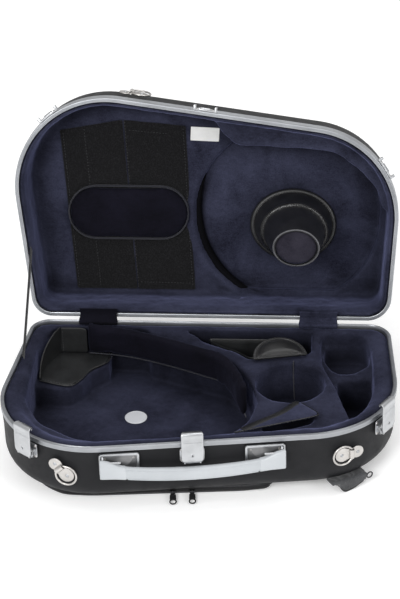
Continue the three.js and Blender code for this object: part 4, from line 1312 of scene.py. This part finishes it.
def build_outer_pocket():
    profile = [(3, -105.4), (0.6, -105.6), (-0.4, -106.6), (-0.4, -108.4), (0.4, -109.2), (0.9, -110.4),
               (0.9, -113.6),
               (0.4, -114.8), (-0.6, -116.0), (-0.6, -117.6), (0.6, -118.8), (2.4, -119), (12, -119)]
    piece = loft("outer_pocket_cloth", [pocket_ring(d, z) for d, z in profile], BASE, POCKET_CLOTH,
                 sharp=60)
    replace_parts(piece, "outer_pocket")
    for name, z in (("upper", -107.4), ("lower", -117.0)):
        tube(f"outer_pocket_{name}_piping", pocket_ring(-0.8, z), 1.1, BASE, PIPING_GREY, closed=True)
    track = [(-248, 240), (-246, 281), (-213, 318.6), (-168, 330.7), (-34, 319), (100, 307.2), (124, 296)]
    line = spline([(x, -v, -112) for x, v in track], 14)
    rings = []
    for i, p in enumerate(line):
        d = (line[min(i + 1, len(line) - 1)] - line[max(i - 1, 0)]).normalized()
        out = Vector((-d.y, d.x, 0))
        if out.y > 0:
            out = -out
        rings.append([tuple(p + out * s + Vector((0, 0, z))) for s, z in
                      ((0.1, -3), (0.8, -2.6), (0.9, -1.1), (1.0, 1.1), (0.8, 2.6), (0.1, 3), (-0.9, 3),
                       (-0.9, -3))])
    piece = loft("zip_tape", rings, BASE, WEBBING, sharp=60)
    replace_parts(piece, "zip_track")
    verts, faces = [], []
    travelled, count = 0.0, 0
    for a, b in zip(line, line[1:]):
        d = b - a
        while count * 1.6 < travelled + d.length:
            t = (count * 1.6 - travelled) / d.length
            p = a + d * t
            u = d.normalized()
            out = Vector((-u.y, u.x, 0))
            out = -out if out.y > 0 else out
            up = 0.5 if count % 2 else -0.5
            first = len(verts)
            for s in (-0.45, 0.45):
                for q, z in ((0.7, -0.9), (1.9, -0.5), (1.9, 0.5), (0.7, 0.9)):
                    verts.append(tuple(p + u * s + out * q + Vector((0, 0, z + up))))
            faces += [tuple(first + i for i in f) for f in
                      ((0, 1, 2, 3), (7, 6, 5, 4), (0, 4, 5, 1), (1, 5, 6, 2), (2, 6, 7, 3), (3, 7, 4, 0))]
            count += 1
        travelled += d.length
    make("zip_teeth", verts, faces, BASE, RUBBER)
    for side, x in (("left", -26), ("right", 4)):
        v = 328 - (x + 168) * tan(ZIP_ANGLE) + 4.4
        build_zip_slider(side, BASE @ shift(x, -v, -112) @ Matrix.Rotation(ZIP_ANGLE, 4, "Z"))


def build_zip_slider(side, matrix):
    shape = rounded([(-4.5, -0.2), (4.5, -0.2), (3.6, -5.3), (-3.6, -5.3)], 1.2, 3)
    piece = slab(f"zip_slider_{side}_body", shape, -3.0, 3.0, 0.7, matrix, DARK_METAL_AND_SHADE, "zip_slider_" + side)
    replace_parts(piece, f"zip_slider_{side}")
    bail = [(0, -0.8, 1.6), (0, -1.6, 3.4), (0, -3.4, 3.8), (0, -5.0, 2.6), (0, -5.6, 0.6)]
    tube(f"zip_bail_{side}", spline(bail, 5), 0.7, matrix, DARK_METAL_AND_SHADE, "zip_slider_" + side)
    tilt = matrix @ Matrix.Rotation(0.14, 4, "X")
    shape = rounded([(-4.8, -6.3), (4.8, -6.3), (5.2, -17.6), (-5.2, -17.6)], 1.4, 3)
    piece = slab(f"zip_pull_{side}_tab", shape, -2.2, -0.4, 0.5, tilt, RUBBER, "zip_pull_" + side)
    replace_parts(piece, f"zip_pull_{side}")
    loop = [(4.9 * cos(2 * pi * k / 28), -22 + 4.9 * sin(2 * pi * k / 28), -1.3)
            for k in range(28)]
    tube(f"zip_pull_{side}_ring", loop, 1.15, tilt, RUBBER, "zip_pull_" + side, closed=True, sides=10)
    for k in range(3):
        y = -9 - k * 3
        tube(f"zip_pull_{side}_rib_{k}", [(-3.8, y, -0.35), (3.8, y, -0.35)], 0.35, tilt, RUBBER,
             "zip_pull_" + side, sides=6)


POUCH = wall(BASE, corner_spot(FRONT_RIGHT, 56))


def build_pouch():
    piece = soft_copy("strap_pouch", "strap_pouch_cloth", POUCH_CLOTH, "base", 0.002, 4, swell=0.0006,
                      rough=0.0006, grain=60)
    edge = [(-22, -109), (-14, -118.2), (2, -117.2), (12, -113.4), (20, -110.8)]
    edge = spline([(x, 2.2, z) for x, z in edge], 6)
    tube("strap_pouch_piping", edge, 1.1, POUCH, RUBBER)
    ring_line = [(33.2 + 5 * cos(2 * pi * k / 28), 4.8, -106 + 5 * sin(2 * pi * k / 28))
                 for k in range(28)]
    piece = tube("pouch_pull_ring", ring_line, 1.1, POUCH, DARK_METAL_AND_SHADE, "pouch_pull", closed=True, sides=10)
    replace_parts(piece, "pouch_pull")
    tube("strap_pouch_tab", spline([(24, 3.5, -104), (27, 4.5, -105.4), (28.6, 4.8, -106),
                                    (27, 5.4, -106.8), (24, 5.6, -108)], 5), 0.9,
         POUCH, RUBBER)


# ---------------------------------------------------------------- stage, light and camera


def build_stage():
    mesh = bpy.data.meshes.new("floor")
    size = 8
    mesh.from_pydata([(-size, -size, 0), (size, -size, 0), (size, size, 0), (-size, size, 0)], [],
                     [(0, 1, 2, 3)])
    floor = bpy.data.objects.new("floor", mesh)
    floor.location.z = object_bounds()[0][2] - 0.0005
    look = Look("floor_white", roughness=0.9, Specular_IOR_Level=0.2)
    look.set("Base Color", look.ramp(look.noise(3, 3), (0.3, (0.95, 0.95, 0.95)), (0.7, (0.97, 0.97, 0.97))))
    look.shader.inputs["Emission Color"].default_value = (1, 1, 1, 1)
    look.shader.inputs["Emission Strength"].default_value = 0.22
    mesh.materials.append(look.mat)
    bpy.context.scene.collection.objects.link(floor)
    floor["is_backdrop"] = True


def area_light(name, place, target, size, power, colour=(1, 1, 1)):
    light = bpy.data.lights.new(name, "AREA")
    light.shape = "RECTANGLE"
    light.size, light.size_y = size
    light.energy = power
    light.color = colour
    obj = bpy.data.objects.new(name, light)
    obj.location = place
    obj.rotation_euler = (Vector(target) - Vector(place)).to_track_quat("-Z", "Y").to_euler()
    bpy.context.scene.collection.objects.link(obj)


def build_lights():
    world = bpy.data.worlds.new("studio")
    world.use_nodes = True
    world.node_tree.nodes["Background"].inputs["Color"].default_value = (1, 1, 1, 1)
    world.node_tree.nodes["Background"].inputs["Strength"].default_value = 0.64
    bpy.context.scene.world = world
    area_light("key", (-1.2, -3.0, 2.3), (0, 0, 0.15), (1.6, 1.1), 78)
    area_light("fill", (2.4, -2.2, 1.8), (0, 0, 0.15), (1.4, 1.0), 30)
    area_light("top", (0.3, 0.2, 2.8), (0, 0, 0.1), (1.8, 1.2), 18)


# Angles in degrees. The camera looks at a point this high above the plan frame's origin.
CAMERA = {"elevation": 31.7, "azimuth": 4.3, "roll": -1.4, "distance": 4078.8, "height": 48.8}
SENSOR = 36
LENS = 150.25
LENS_SHIFT = -0.006344


def build_camera():
    e, a, r = (radians(CAMERA[k]) for k in ("elevation", "azimuth", "roll"))
    back = Vector((sin(a) * cos(e), -cos(a) * cos(e), sin(e)))
    right = (-back).cross(Vector((0, 0, 1))).normalized()
    up = right.cross(-back).normalized()
    right, up = right * cos(r) + up * sin(r), up * cos(r) - right * sin(r)
    data = bpy.data.cameras.new("camera")
    data.sensor_width = SENSOR
    data.lens = LENS
    data.shift_y = LENS_SHIFT
    data.clip_end = 50
    camera = bpy.data.objects.new("camera", data)
    place = BASE @ (Vector((0, 0, CAMERA["height"])) + back * CAMERA["distance"])
    rotation = Matrix((right, up, back)).transposed().to_4x4()
    camera.matrix_world = Matrix.Translation(place) @ rotation
    bpy.context.scene.collection.objects.link(camera)
    bpy.context.scene.camera = camera


# ---------------------------------------------------------------- build

bpy.context.scene.view_settings.view_transform = "Standard"
for build in (
    build_camera, build_shells, build_rims, build_base_liner, build_pocket_linings, build_divider,
    build_corner_guard, build_badge, build_pocket_flap, build_retaining_flap, build_lid_liner,
    build_loop_panels, build_oval_pad, build_label, build_cone, build_strap_rings, build_latches,
    build_handle, build_hinges, build_stay_strap, build_outer_pocket, build_pouch, build_stage,
    build_lights,
):
    build()
